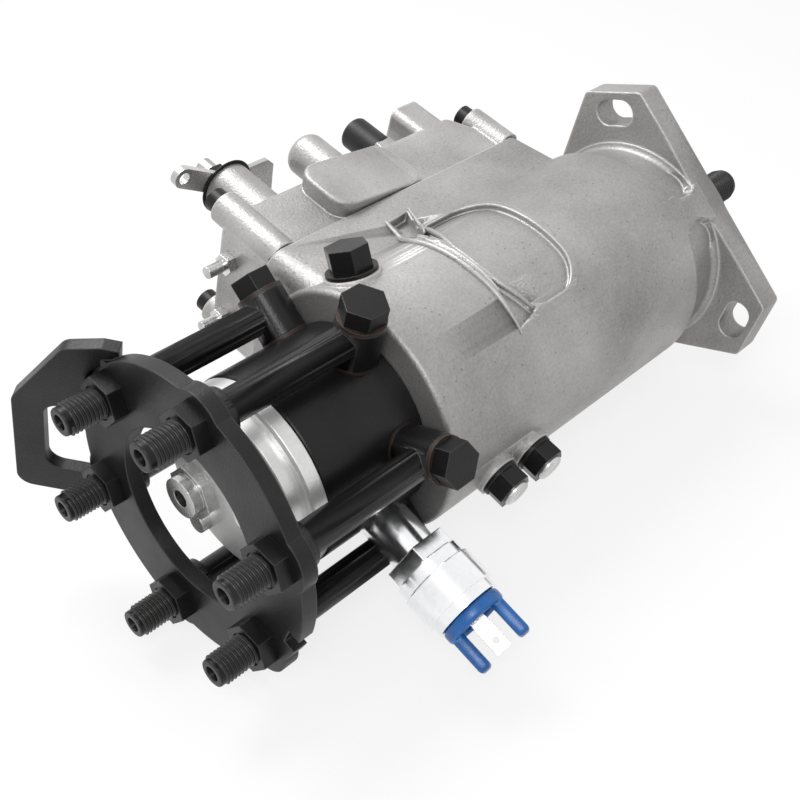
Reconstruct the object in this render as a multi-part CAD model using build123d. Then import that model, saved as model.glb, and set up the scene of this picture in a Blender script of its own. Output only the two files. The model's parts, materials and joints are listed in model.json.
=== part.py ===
from build123d import *
from math import cos, radians, sin
import os

# Rotary diesel injection pump. It is modelled with its shaft along X: the engine
# side of the mounting flange is x = 0, the drive shaft leaves towards +X, the outlet
# pipes towards -X, and the governor cover is up. "Clock" angles run about the shaft
# from straight up (0) towards the -Y side (90). At the very end the whole pump is
# rolled onto its side, which is how it lies on a bench.
ROLL = -74.8

# Fits, millimetres on the radius
RUN = 0.05          # running fit of a turning or sliding piece
SEAT = 0.02         # piece fixed in its bore
AIR = 0.3           # clearance beside moving pieces
WASHER_T = 1.5

# Pump casting
FLANGE_T = 12
FLANGE_TIP_R = 71.5
FLANGE_TIP_ANGLE = 11.5
FLANGE_CORNER_R = 3
LOBES = (60, 180, 300)
SLOT_R = 61
SLOT_W = 11.5
SLOT_SWEEP = 7
SPIGOT_R = 25
SPIGOT_L = 6
HUB_R = 48
HUB_STEP = 1
NECK_R = 45
NECK_L = 20
NECK_FILLET = 2.8
WEB_W = 17
WEB_ROOT = 4
BODY_L = 189
DRUM_R = 50
DRUM_EDGE_R = 2
HEAD_R = 37.5
GOVERNOR_BORE_R = 42
UPPER_HALF_W = 34
UPPER_FOOT_W = 38
UPPER_FOOT_Z = 29
UPPER_END_R = 8
DECK_Z = 58
UPPER_FRONT_X = -187
UPPER_REAR_X = -38
CAVITY_FRONT_X = -184
CAVITY_REAR_X = -48
CAVITY_HALF_W = 24
PLATE_FRONT_X = -140
PLATE_W = 42
PLATE_TOP_Z = 36
PLATE_BOTTOM_Z = -29
PLATE_CORNER_R = 17
PLATE_RIM_W = 3
PLATE_RIM_H = 1.4
PLATE_DEPTH = 1.2
GUSSET_W = 18
GUSSET_LOW_Z = 27
GUSSET_HIGH_Z = 53
GUSSET_DEPTH = 3

# Governor cover
GASKET_T = 0.8
COVER_H = 29
COVER_LOW_H = 16
COVER_SLOPE_X = -58
COVER_LOW_X = -51
COVER_HALF_W = 31
COVER_EDGE_R = 4
COVER_WALL = 6
COVER_IN_FRONT = 2
COVER_IN_REAR = 1
COVER_LIP = 6
PAD_FRONT_X = -147
PAD_L = 48
PAD_OUT = 3
PAD_DROP = 1.5
THROTTLE_X = -160
THROTTLE_Y = -18
THROTTLE_BOSS_R = 11
THROTTLE_BOSS_H = 24
BLANK_BOSS_X = -120
BLANK_BOSS_R = 9.5
BLANK_BOSS_H = 24
UNION_BLOCK_X = -66
UNION_BLOCK_L = 17
UNION_BLOCK_H = 15
UNION_BLOCK_ROOT = 4
SCREW_BOSS_R = 7
SCREW_BOSS_H = 6
COVER_SCREW_R = 3
COVER_SCREW_DEPTH = 12
SCREW_FROM_FRONT = 10
SCREW_FROM_REAR = 6
SCREW_HEAD_R = 5
SCREW_HEAD_H = 6

# Hydraulic head and its outlets
HEAD_OUT = 47
HEAD_IN = 37
HEAD_EDGE_R = 1.5
SEAL_GROOVE = 1.5
SEAL_INSET = 5
OUTLETS = 6
OUTLET_FIRST = 30
OUTLET_PCD_R = 48
BANJO_X = -198
BANJO_R = 9
BANJO_L = 17
BANJO_BORE_R = 5.2
BANJO_SHANK_R = 5
BANJO_SHANK_L = 34
BANJO_HEX = 15
BANJO_HEX_H = 7
SPOT_DEPTH = 1
SPOT_R = 9.5
PIPE_R = 6
PIPE_END_X = -288.6
PIPE_SEAT_R = 6.5
PIPE_BORE_R = 2
CONE_R = 4
CONE_L = 5
SHOULDER_R = 8.5
SHOULDER_L = 5
LOCKNUT_HEX = 17
LOCKNUT_H = 6

# Ring plate that ties the six pipes together, with its lug
RING_FACE_X = -268
RING_T = 6
RING_R = 58
RING_HOLE_R = 34
RING_LOBE_R = 13
RING_FIT = 0.1
NOTCH_CLOCK = 188
NOTCH_W = 8
NOTCH_DEPTH = 5
LUG_Z = 48
LUG_TILT = 40
LUG_T = 5
LUG_NEAR_Y = -41
LUG_FAR_Y = 40
LUG_H = 31
LUG_TOP_NEAR_Y = -8
LUG_SHOULDER_Y = -37
LUG_SHOULDER_H = 13
LUG_WALL = 13
LUG_CORNER_R = 6
LUG_ROOT = 6
LUG_HOLE_DROP = 2
TOOL_ROOM = 30

# Drive line
SHAFT_R = 12.5
TAPER_START_X = 14
TAPER_L = 30
TAPER_END_R = 10
THREAD_R = 8
THREAD_L = 22
RELIEF_R = 7
RELIEF_L = 4
KEY_W = 4
KEY_H = 5
KEY_L = 16
BUSH_WALL = 3.5
BUSH_IN_X = -42
BUSH_L = 28
SEAL_WALL = 4.5
SEAL_L = 7
SEAL_X = -10
DRIVE_PLATE_R = 18
DRIVE_PLATE_T = 6
ROTOR_HEAD_R = 20
ROTOR_HEAD_L = 26
ROTOR_R = 9.5
PLUNGER_R = 4
PLUNGER_INNER = 2
SHOE_INNER = 12.4
SHOE_W = 10.6
SHOE_L = 14
ROLLER_R = 5
ROLLER_AT = 18.8
STROKE = 1.8
LOBE_GAP = 0.5
CAM_L = 23
CAM_TIP_COUNT = 6
CAM_DWELL_R = 7

# Governor: weight cage, four weights, thrust sleeve, arm, link and metering valve
CAGE_R = 40.5
CAGE_WALL = 2
CAGE_BACK_X = -116
CAGE_BACK_T = 4
CAGE_L = 30
WEIGHTS = 4
WEIGHT_FIRST = 45
WEIGHT_PIVOT_R = 31
WEIGHT_L = 23
WEIGHT_DEEP = 10.5
WEIGHT_W = 19
TOE_T = 3
TOE_HALF_W = 4.75
TOE_INNER_R = 15.9
SLEEVE_R = 15.4
SLEEVE_L = 46
SLEEVE_TOE_R = 18.5
SLEEVE_TOE_T = 3
SLEEVE_FLANGE_R = 20
SLEEVE_FLANGE_T = 3
ARM_PIVOT_Z = 38
ARM_T = 3
ARM_PAD_R = 2
ARM_PAD_Y = 16
ARM_HALF_W = 19
ARM_SLOT_HALF_W = 13.5
ARM_LOW = 5
ARM_NECK_HALF_W = 9
ARM_TOP_Z = 63
ARM_PIN_R = 2.5
ARM_PIN_OUT = 3
ARM_PIN_PLAY = 1
ARM_SLOT_TOP_Z = 17.5
LINK_Z = 58
LINK_R = 1.5
LINK_STEP = 1.5
LINK_NUT_L = 3
LINK_PLAY = 0.5
LINK_EYE_R = 3.2
LINK_EYE_BORE_R = 1.5
METER_X = -172
METER_R = 4
METER_DEPTH = 20
METER_TOP_Z = 45
METER_LEVER = 6
METER_LEVER_T = 3
METER_LEVER_W = 4
METER_PIN_R = 1

# Transfer pump, end plate and regulating valve
VANE_PUMP_L = 12
VANE_PUMP_R = 21
LINER_BORE_R = 15.2
LINER_OFFSET = 1
VANE_ROTOR_R = 13.2
VANE_T = 2.4
VANE_H = 6
VANE_END_GAP = 0.1
END_DISC_R = 37
END_DISC_T = 6.5
END_BOSS_R = 33
END_BOSS_T = 7.5
END_SCREW_R = 2.5
END_SCREW_PCD_R = 28
END_SCREW_COUNT = 4
END_SCREW_FIRST = 20
INLET_CLOCK = -40
INLET_AT_R = 18
INLET_R = 8
INLET_L = 9
INLET_HEX = 19
INLET_HEX_H = 5
INLET_BORE_R = 3.5
INLET_DEPTH = 8
REGULATOR_CLOCK = 155
REGULATOR_AT_R = 18
REGULATOR_R = 5
REGULATOR_BORE_R = 3
REGULATOR_HEX = 13
REGULATOR_HEX_H = 7
REGULATOR_SKIN = 2
REGULATOR_TRAVEL = 3
REGULATOR_PISTON_L = 7

# Screws, plugs and washers in the casting wall
HEAD_BOLT_X = -174
HEAD_BOLT_CLOCKS = (58, 302)
HEAD_BOLT_R = 5
HEAD_BOLT_HEX = 15
HEAD_BOLT_HEX_H = 9
HEAD_BOLT_FLANGE_R = 10
HEAD_BOLT_DEPTH = 8
BOLT_BOSS_R = 11
BOLT_BOSS_OUT = 1
PLUG_CLOCK = 184
PLUG_XS = (-143, -163)
PLUG_R = 5
PLUG_HEX = 14
PLUG_HEX_H = 7
PLUG_BOSS_R = 9
PLUG_BOSS_OUT = 3

# Stop solenoid
SOLENOID_X = -211
SOLENOID_CLOCK = 187
SOLENOID_NECK_R = 9
SOLENOID_NECK_DEPTH = 9
SOLENOID_BODY_R = 14.25
SOLENOID_START = 57
SOLENOID_END = 84
SOLENOID_HEX = 24
SOLENOID_HEX_H = 6
SOLENOID_STEP = 1
SOLENOID_BAND_LOW = 5
SOLENOID_BAND_TOP = 4
SOLENOID_SPRING_ROOM = 2
ARMATURE_R = 5
ARMATURE_L = 22
ARMATURE_TRAVEL = 1.5
CLIP_T = 6
CLIP_HALF_W = 11.5
CLIP_ARM_L = 13
CLIP_ARM_W = 4.5
CLIP_DEPTH = 13
SPADE_W = 6.3
SPADE_T = 0.8
SPADE_L = 10
SPADE_HOLE_R = 1.1

# Levers, stops and unions on the cover
THROTTLE_SHAFT_R = 4
THROTTLE_SHAFT_IN = 22
THROTTLE_SHAFT_OUT = 15
LEVER_T = 3
LEVER_HUB_R = 7.5
LEVER_L = 26
LEVER_W = 9
LEVER_HOLE_R = 2.5
LEVER_CLOCK = 30
LEVER_TAB_H = 12
NUT_HEX = 10
NUT_H = 5
STOP_SCREW_R = 2.5
STOP_SCREW_L = 24
STOP_YS = (-14, 16)
STOP_HEX = 8
STOP_NUT_H = 4
STOP_OUT = 12
STOP_DROP = 9
UNION_X = -88
UNION_Y = -19
UNION_R = 5
UNION_HEX = 14
UNION_HEX_H = 6
UNION_L = 22
CAP_R = 7.5
CAP_WALL = 2

# Stations that follow from the sizes above
neck_x = -FLANGE_T - NECK_L
head_end_x = -BODY_L
cover_front_x = UPPER_FRONT_X + COVER_IN_FRONT
cover_rear_x = UPPER_REAR_X - COVER_IN_REAR
trunnion_seat_w = CAVITY_HALF_W + ARM_PIN_OUT + ARM_PIN_PLAY
head_face_x = head_end_x - HEAD_OUT
head_inner_x = head_end_x + HEAD_IN
seal_x = head_end_x + SEAL_INSET
cover_z = DECK_Z + GASKET_T
cover_top_z = cover_z + COVER_H
stop_z = cover_top_z - STOP_DROP
spot_r = HEAD_R - SPOT_DEPTH
eye_low_r = spot_r + WASHER_T
eye_high_r = eye_low_r + BANJO_L
ring_back_x = RING_FACE_X + RING_T
locknut_x = RING_FACE_X - LOCKNUT_H
rotor_front_x = head_inner_x + AIR
rotor_rear_x = rotor_front_x + ROTOR_HEAD_L
drive_plate_x = rotor_rear_x + DRIVE_PLATE_T
plunger_x = rotor_front_x + ROTOR_HEAD_L / 2
vane_x = head_face_x + VANE_PUMP_L
end_disc_x = head_face_x - END_DISC_T
end_face_x = end_disc_x - END_BOSS_T
roller_top = ROLLER_AT + ROLLER_R
cam_tip_r = roller_top + LOBE_GAP
weight_back_x = CAGE_BACK_X + CAGE_BACK_T + AIR
sleeve_x = weight_back_x + TOE_T + AIR
sleeve_end_x = sleeve_x + SLEEVE_L
arm_pad_x = sleeve_end_x + AIR + ARM_PAD_R
arm_x = arm_pad_x + ARM_PAD_R
lever_z = cover_top_z + THROTTLE_BOSS_H + 2 * AIR

OUTLET_CLOCKS = [OUTLET_FIRST + i * 360 / OUTLETS for i in range(OUTLETS)]


def rod(r, x_from, x_to):
    """Cylinder along the shaft axis."""
    return Pos(X=(x_from + x_to) / 2) * Rot(Y=90) * Cylinder(r, abs(x_to - x_from))


def tube(r_out, r_in, x_from, x_to):
    """Ring along the shaft axis."""
    return rod(r_out, x_from, x_to) - rod(r_in, x_from - 1, x_to + 1)


def post(r, low, high):
    """Upright cylinder between two heights."""
    return Pos(Z=(low + high) / 2) * Cylinder(r, high - low)


def hexagon(across_flats, low, high):
    """Upright hexagon between two heights."""
    flat = RegularPolygon(across_flats / 2, 6, major_radius=False)
    return Pos(Z=low) * extrude(flat, high - low)


def block(x_from, x_to, half_w, low, high):
    """Box centred on the y = 0 plane."""
    size = (x_to - x_from, 2 * half_w, high - low)
    return Pos(X=(x_from + x_to) / 2, Z=(low + high) / 2) * Box(*size)


def turned(points):
    """Solid turned about the shaft axis from (x, r) points."""
    return revolve(make_face(Plane.XZ * Polyline(*points, close=True)), Axis.X)


def at_clock(shape, x, clock):
    """Moves a shape built upright to a station on the shaft and a clock angle."""
    return Pos(X=x) * Rot(X=clock) * shape


def clock_point(r, clock):
    """Point in the plane across the shaft, as (y, z)."""
    return (-r * sin(radians(clock)), r * cos(radians(clock)))


def along_axis(shape, y, z):
    """Turns a shape built upright so that it points to -X, at (y, z)."""
    return Pos(Y=y, Z=z) * Rot(Y=-90) * shape


# ---------------------------------------------------------------- pump casting
def flange_plate():
    corners = [clock_point(FLANGE_TIP_R, lobe + side * FLANGE_TIP_ANGLE)
               for lobe in LOBES for side in (-1, 1)]
    outline = make_face(Polyline(*corners, close=True))
    outline = fillet(outline.vertices(), FLANGE_CORNER_R)
    for lobe in LOBES:
        slot_line = CenterArc((0, 0), SLOT_R, lobe + 90 - SLOT_SWEEP / 2, SLOT_SWEEP)
        outline -= SlotArc(slot_line, SLOT_W)
    return Pos(X=-FLANGE_T) * extrude(Plane.YZ * outline, FLANGE_T)


def drum():
    profile = Polyline(
        (head_end_x, 0), (head_end_x, DRUM_R), (neck_x, DRUM_R), (neck_x, NECK_R),
        (-FLANGE_T - HUB_STEP, NECK_R), (-FLANGE_T - HUB_STEP, HUB_R), (0, HUB_R),
        (0, SPIGOT_R), (SPIGOT_L, SPIGOT_R), (SPIGOT_L, 0), close=True)
    face = make_face(profile)
    face = fillet([v for v in face.vertices() if abs(v.Y - DRUM_R) < SEAT], DRUM_EDGE_R)
    face = fillet([v for v in face.vertices() if abs(v.Y - NECK_R) < SEAT], NECK_FILLET)
    return revolve(Plane.XZ * face, Axis.X)


def upper_casting():
    section = make_face(Polyline(
        (-UPPER_FOOT_W, UPPER_FOOT_Z), (-UPPER_HALF_W, DECK_Z), (UPPER_HALF_W, DECK_Z),
        (UPPER_FOOT_W, UPPER_FOOT_Z), (UPPER_FOOT_W, 0), (-UPPER_FOOT_W, 0), close=True))
    length = UPPER_REAR_X - UPPER_FRONT_X
    body = Pos(X=UPPER_FRONT_X) * extrude(Plane.YZ * section, length)
    upright = [e for e in body.edges()
               if abs(e.center().Z - (UPPER_FOOT_Z + DECK_Z) / 2) < 1
               and abs(e.center().Y) > CAVITY_HALF_W]
    return fillet(upright, UPPER_END_R)


def webs():
    web = block(neck_x - 1, -FLANGE_T + 1, WEB_W / 2, NECK_R - WEB_ROOT, DRUM_R - 1)
    return [Rot(X=lobe + 180 / len(LOBES)) * web for lobe in LOBES]


def plate_outline(inset):
    width = PLATE_W - 2 * inset
    height = PLATE_TOP_Z - PLATE_BOTTOM_Z - 2 * inset
    shape = RectangleRounded(width, height, PLATE_CORNER_R - inset)
    middle = (PLATE_FRONT_X + PLATE_W / 2, (PLATE_TOP_Z + PLATE_BOTTOM_Z) / 2)
    return extrude(Plane.XZ * Pos(*middle) * shape, 2 * DRUM_R)


def pump_housing():
    body = drum() + flange_plate() + upper_casting() + webs()
    rim_shell = tube(DRUM_R + PLATE_RIM_H, DRUM_R - 1, head_end_x, neck_x)
    body += (plate_outline(0) - plate_outline(PLATE_RIM_W)) & rim_shell
    for clock in HEAD_BOLT_CLOCKS:
        body += at_clock(post(BOLT_BOSS_R, HEAD_R + 1, DRUM_R + BOLT_BOSS_OUT),
                         HEAD_BOLT_X, clock)
    for x in PLUG_XS:
        body += at_clock(post(PLUG_BOSS_R, HEAD_R + 1, DRUM_R + PLUG_BOSS_OUT),
                         x, PLUG_CLOCK)
    # bare recess inside the rim, and the three-cornered hollow above its front rib
    body -= plate_outline(PLATE_RIM_W) & tube(DRUM_R + PLATE_RIM_H + 1, DRUM_R - PLATE_DEPTH,
                                              head_end_x, neck_x)
    gusset_x = PLATE_FRONT_X + PLATE_RIM_W
    gusset = make_face(Plane.XZ * Polyline(
        (gusset_x, GUSSET_LOW_Z), (gusset_x - GUSSET_W / 2, GUSSET_HIGH_Z),
        (gusset_x + GUSSET_W / 2, GUSSET_HIGH_Z), close=True))
    gusset = Pos(Y=-UPPER_HALF_W + GUSSET_DEPTH - 1) * extrude(gusset, DRUM_R)
    body -= gusset - rod(DRUM_R - 1, head_end_x, neck_x)
    # inside: head and cam bore, governor bore, upper cavity, bush and seal bores
    body -= rod(HEAD_R + SEAT, head_end_x - 1, drive_plate_x)
    body -= rod(GOVERNOR_BORE_R, drive_plate_x - 1, CAVITY_REAR_X)
    body -= block(CAVITY_FRONT_X, CAVITY_REAR_X, CAVITY_HALF_W, 0, DECK_Z + 1)
    body -= rod(SHAFT_R + BUSH_WALL + SEAT, CAVITY_REAR_X - 1, SPIGOT_L + 1)
    body -= rod(SHAFT_R + SEAL_WALL + SEAT, SEAL_X, SPIGOT_L + 1)
    for clock in HEAD_BOLT_CLOCKS:
        body -= at_clock(post(HEAD_BOLT_R + SEAT, HEAD_R - 1, DRUM_R + BOLT_BOSS_OUT + 1),
                         HEAD_BOLT_X, clock)
    for x in PLUG_XS:
        body -= at_clock(post(PLUG_R + SEAT, HEAD_R - 1, DRUM_R + PLUG_BOSS_OUT + 1),
                         x, PLUG_CLOCK)
    # trunnion seats of the governor arm, open at the deck so that the arm drops in
    body -= Pos(arm_x, 0, ARM_PIVOT_Z) * Rot(X=90) * Cylinder(
        ARM_PIN_R + RUN, 2 * trunnion_seat_w)
    body -= block(arm_x - ARM_PIN_R - RUN, arm_x + ARM_PIN_R + RUN, trunnion_seat_w,
                  ARM_PIVOT_Z, DECK_Z + 1)
    for x, y in cover_screw_places():
        body -= Pos(x, y) * post(COVER_SCREW_R + SEAT, DECK_Z - COVER_SCREW_DEPTH, DECK_Z + 1)
    return body


# --------------------------------------------------------------- governor cover
def cover_screw_places():
    y = (CAVITY_HALF_W + COVER_HALF_W) / 2
    front = UPPER_FRONT_X + SCREW_FROM_FRONT
    rear = UPPER_REAR_X - SCREW_FROM_REAR
    return [(front, y), (front, -y), (rear, y), (rear, -y)]


def cover_gasket():
    sheet = block(cover_front_x, cover_rear_x, COVER_HALF_W, DECK_Z, cover_z)
    sheet -= block(CAVITY_FRONT_X + COVER_LIP, CAVITY_REAR_X, CAVITY_HALF_W,
                   DECK_Z - 1, cover_z + 1)
    for x, y in cover_screw_places():
        sheet -= Pos(x, y) * post(COVER_SCREW_R + SEAT, DECK_Z - 1, cover_z + 1)
    return sheet


def governor_cover():
    side = make_face(Plane.XZ * Polyline(
        (cover_front_x, cover_z), (cover_front_x, cover_top_z), (COVER_SLOPE_X, cover_top_z),
        (COVER_LOW_X, cover_z + COVER_LOW_H), (cover_rear_x, cover_z + COVER_LOW_H),
        (cover_rear_x, cover_z), close=True))
    body = extrude(side, COVER_HALF_W, both=True)
    body = fillet(body.edges().filter_by(Axis.Z), UPPER_END_R)
    body = fillet(body.edges().filter_by(Axis.X).sort_by(Axis.Z)[-2:], COVER_EDGE_R)
    pad = block(PAD_FRONT_X, PAD_FRONT_X + PAD_L, PAD_OUT + COVER_EDGE_R,
                cover_z, cover_top_z - PAD_DROP)
    pad = fillet(pad.edges().filter_by(Axis.Y), UPPER_END_R)
    body += Pos(Y=-COVER_HALF_W + COVER_EDGE_R) * pad
    body += Pos(THROTTLE_X, THROTTLE_Y) * post(
        THROTTLE_BOSS_R, cover_z + 1, cover_top_z + THROTTLE_BOSS_H)
    blank = post(BLANK_BOSS_R, cover_z + 1, cover_top_z + BLANK_BOSS_H)
    blank = fillet(blank.edges().sort_by(Axis.Z)[-1], BLANK_BOSS_R / 2)
    body += Pos(BLANK_BOSS_X, -COVER_HALF_W + BLANK_BOSS_R) * blank
    union_block = block(UNION_BLOCK_X - UNION_BLOCK_L / 2, UNION_BLOCK_X + UNION_BLOCK_L / 2,
                        UNION_BLOCK_L / 2, cover_top_z - UNION_BLOCK_ROOT,
                        cover_top_z + UNION_BLOCK_H)
    union_block = fillet(union_block.edges().filter_by(Axis.Z), COVER_EDGE_R)
    body += Pos(Y=-COVER_HALF_W + UNION_BLOCK_L / 2) * union_block
    for x, y in cover_screw_places():
        top = cover_top_z if x < COVER_SLOPE_X else cover_z + COVER_LOW_H
        body += Pos(x, y) * post(SCREW_BOSS_R, cover_z, top + SCREW_BOSS_H)
    ceiling = cover_z + COVER_LOW_H - COVER_WALL
    body -= block(CAVITY_FRONT_X + COVER_LIP, CAVITY_REAR_X, CAVITY_HALF_W, cover_z - 1, ceiling)
    body -= Pos(THROTTLE_X, THROTTLE_Y) * post(
        THROTTLE_SHAFT_R + RUN, cover_z, cover_top_z + THROTTLE_BOSS_H + 1)
    body -= Pos(UNION_X, UNION_Y) * post(
        UNION_R + SEAT, ceiling - 1, cover_top_z + 1)
    for y in STOP_YS:
        body -= along_axis(post(STOP_SCREW_R + SEAT, -cover_front_x - STOP_SCREW_L + STOP_OUT,
                                -cover_front_x + 1), y, stop_z)
    for x, y in cover_screw_places():
        body -= Pos(x, y) * post(COVER_SCREW_R + SEAT, cover_z - 1,
                                 cover_top_z + SCREW_BOSS_H + 1)
    return body


def cover_screws():
    screws = []
    for x, y in cover_screw_places():
        top = cover_top_z if x < COVER_SLOPE_X else cover_z + COVER_LOW_H
        seat = top + SCREW_BOSS_H
        screw = post(COVER_SCREW_R, DECK_Z - COVER_SCREW_DEPTH + 1, seat + 1)
        screw += post(SCREW_HEAD_R, seat, seat + SCREW_HEAD_H)
        screw -= hexagon(SCREW_HEAD_R, seat + SCREW_HEAD_H / 2, seat + SCREW_HEAD_H + 1)
        screws.append(Pos(x, y) * screw)
    return screws


def stop_screws():
    """Two stop screws with their locknuts, on the outlet end of the cover."""
    front = -cover_front_x
    pieces = []
    for y in STOP_YS:
        screw = post(STOP_SCREW_R, front - STOP_SCREW_L + STOP_OUT, front + STOP_OUT)
        nut = hexagon(STOP_HEX, front, front + STOP_NUT_H)
        nut -= post(STOP_SCREW_R + SEAT, front - 1, front + STOP_NUT_H + 1)
        pieces += [along_axis(screw, y, stop_z), along_axis(nut, y, stop_z)]
    return pieces


def return_union():
    low = cover_z + COVER_LOW_H - COVER_WALL
    seat = cover_top_z
    body = post(UNION_R, low, seat + UNION_L) + hexagon(UNION_HEX, seat, seat + UNION_HEX_H)
    body -= post(UNION_R / 2, low - 1, seat + UNION_L + 1)
    return Pos(UNION_X, UNION_Y) * body


def dust_cap():
    low = cover_top_z + UNION_HEX_H
    top = cover_top_z + UNION_L + CAP_WALL
    body = post(CAP_R, low, top)
    body = fillet(body.edges().sort_by(Axis.Z)[-1], CAP_WALL)
    body -= post(UNION_R + SEAT, low - 1, cover_top_z + UNION_L)
    return Pos(UNION_X, UNION_Y) * body


# -------------------------------------------------- hydraulic head and its pipes
def hydraulic_head():
    body = rod(HEAD_R, head_face_x, head_inner_x)
    body = fillet(body.edges().sort_by(Axis.X)[0], HEAD_EDGE_R)
    body -= rod(ROTOR_R + RUN, head_face_x, head_inner_x + 1)
    body -= rod(VANE_PUMP_R + SEAT, head_face_x - 1, vane_x)
    for clock in OUTLET_CLOCKS:
        body -= at_clock(post(SPOT_R, spot_r, HEAD_R + 1), BANJO_X, clock)
        body -= at_clock(post(BANJO_SHANK_R + SEAT, eye_high_r + WASHER_T - BANJO_SHANK_L,
                              HEAD_R + 1), BANJO_X, clock)
    body -= at_clock(post(SOLENOID_NECK_R + SEAT, HEAD_R - SOLENOID_NECK_DEPTH, HEAD_R + 1),
                     SOLENOID_X, SOLENOID_CLOCK)
    for clock in HEAD_BOLT_CLOCKS:
        body -= at_clock(post(HEAD_BOLT_R + SEAT, HEAD_R - HEAD_BOLT_DEPTH, HEAD_R + 1),
                         HEAD_BOLT_X, clock)
    body -= Pos(X=METER_X) * post(METER_R + RUN, HEAD_R - METER_DEPTH, HEAD_R + 1)
    body -= tube(HEAD_R + 1, HEAD_R - SEAL_GROOVE, seal_x - SEAL_GROOVE, seal_x + SEAL_GROOVE)
    return body


def head_seal():
    ring = tube(HEAD_R, HEAD_R - SEAL_GROOVE, seal_x - SEAL_GROOVE, seal_x + SEAL_GROOVE)
    return ring


def outlet_pipe():
    """Eye, long pipe, shoulder behind the ring plate and threaded stub in front."""
    pipe = turned([(BANJO_X, 0), (BANJO_X, PIPE_R), (ring_back_x + SHOULDER_L, PIPE_R),
                   (ring_back_x + SHOULDER_L, SHOULDER_R), (ring_back_x, SHOULDER_R),
                   (ring_back_x, PIPE_SEAT_R), (locknut_x, PIPE_SEAT_R),
                   (locknut_x, PIPE_R), (PIPE_END_X, PIPE_R), (PIPE_END_X, 0)])
    pipe = chamfer(pipe.edges().sort_by(Axis.X)[0], 1)
    body = post(BANJO_R, eye_low_r, eye_high_r) + Pos(X=-BANJO_X, Z=OUTLET_PCD_R) * pipe
    body -= post(BANJO_BORE_R, eye_low_r - 1, eye_high_r + 1)
    cone_x = PIPE_END_X - BANJO_X
    body -= Pos(Z=OUTLET_PCD_R) * turned([(cone_x - 1, 0), (cone_x - 1, CONE_R),
                                          (cone_x, CONE_R), (cone_x + CONE_L, PIPE_BORE_R),
                                          (0, PIPE_BORE_R), (0, 0)])
    return body


def banjo_bolt():
    seat = eye_high_r + WASHER_T
    bolt = post(BANJO_SHANK_R, seat - BANJO_SHANK_L, seat + 1)
    return bolt + hexagon(BANJO_HEX, seat, seat + BANJO_HEX_H)


def banjo_washers():
    pieces = []
    for clock in OUTLET_CLOCKS:
        for low in (spot_r, eye_high_r):
            washer = post(BANJO_R, low, low + WASHER_T)
            washer -= post(BANJO_SHANK_R + SEAT, low - 1, low + WASHER_T + 1)
            pieces.append(at_clock(washer, BANJO_X, clock))
    return pieces


def pipe_locknuts():
    nut = hexagon(LOCKNUT_HEX, -RING_FACE_X, -RING_FACE_X + LOCKNUT_H)
    nut -= post(PIPE_SEAT_R + SEAT, -RING_FACE_X - 1, -RING_FACE_X + LOCKNUT_H + 1)
    return [along_axis(nut, *clock_point(OUTLET_PCD_R, clock)) for clock in OUTLET_CLOCKS]


def lug():
    """Cranked lug at the top of the ring plate, leaning forward over two outlets."""
    outline = make_face(Polyline(
        (LUG_NEAR_Y, -LUG_ROOT), (LUG_NEAR_Y, 0), (LUG_SHOULDER_Y, LUG_SHOULDER_H),
        (LUG_TOP_NEAR_Y, LUG_H), (LUG_FAR_Y, LUG_H), (LUG_FAR_Y, 0), (LUG_FAR_Y - LUG_ROOT, -LUG_ROOT),
        close=True))
    outline = fillet(outline.vertices().sort_by(Axis.Y)[-3:], LUG_CORNER_R)
    hole_w = LUG_FAR_Y - LUG_TOP_NEAR_Y - LUG_WALL
    hole_h = LUG_H - LUG_WALL + 2 * LUG_HOLE_DROP
    hole = RectangleRounded(hole_w, hole_h, LUG_CORNER_R)
    outline -= Pos((LUG_FAR_Y - LUG_WALL + LUG_TOP_NEAR_Y) / 2, hole_h / 2 - LUG_HOLE_DROP) * hole
    plate = extrude(Plane.YZ * outline, LUG_T)
    return Pos(X=RING_FACE_X, Z=LUG_Z) * Rot(Y=-LUG_TILT) * plate


def pipe_clamp_plate():
    outline = Circle(RING_R)
    for clock in OUTLET_CLOCKS:
        outline += Pos(*clock_point(OUTLET_PCD_R, clock)) * Circle(RING_LOBE_R)
    outline -= Circle(RING_HOLE_R)
    body = Pos(X=RING_FACE_X) * extrude(Plane.YZ * outline, RING_T)
    body += lug()
    for clock in OUTLET_CLOCKS:
        y, z = clock_point(OUTLET_PCD_R, clock)
        body -= along_axis(post(PIPE_SEAT_R + RING_FIT, -ring_back_x - 1,
                                -RING_FACE_X + TOOL_ROOM), y, z)
        body -= along_axis(post(LOCKNUT_HEX / 2 + 2, -RING_FACE_X, -RING_FACE_X + TOOL_ROOM), y, z)
        body -= along_axis(post(SHOULDER_R + 1, -ring_back_x - TOOL_ROOM, -ring_back_x), y, z)
    body -= Rot(X=NOTCH_CLOCK) * block(RING_FACE_X - 1, ring_back_x + 1, NOTCH_W / 2,
                                       RING_R - NOTCH_DEPTH, RING_R + RING_LOBE_R)
    return body


# ------------------------------------------------------------------- drive line
def drive_shaft():
    taper_end = TAPER_START_X + TAPER_L
    thread_x = taper_end + RELIEF_L
    body = turned([(rotor_rear_x, 0), (rotor_rear_x, DRIVE_PLATE_R),
                   (drive_plate_x, DRIVE_PLATE_R), (drive_plate_x, SHAFT_R),
                   (TAPER_START_X, SHAFT_R), (taper_end, TAPER_END_R),
                   (taper_end, RELIEF_R), (thread_x, RELIEF_R), (thread_x, THREAD_R),
                   (thread_x + THREAD_L, THREAD_R), (thread_x + THREAD_L, 0)])
    body = chamfer(body.edges().sort_by(Axis.X)[-1], 1)
    return body - shaft_key()


def shaft_key():
    middle = TAPER_START_X + TAPER_L / 2
    low = SHAFT_R - KEY_H + 1
    return block(middle - KEY_L / 2, middle + KEY_L / 2, KEY_W / 2, low, low + KEY_H)


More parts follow.
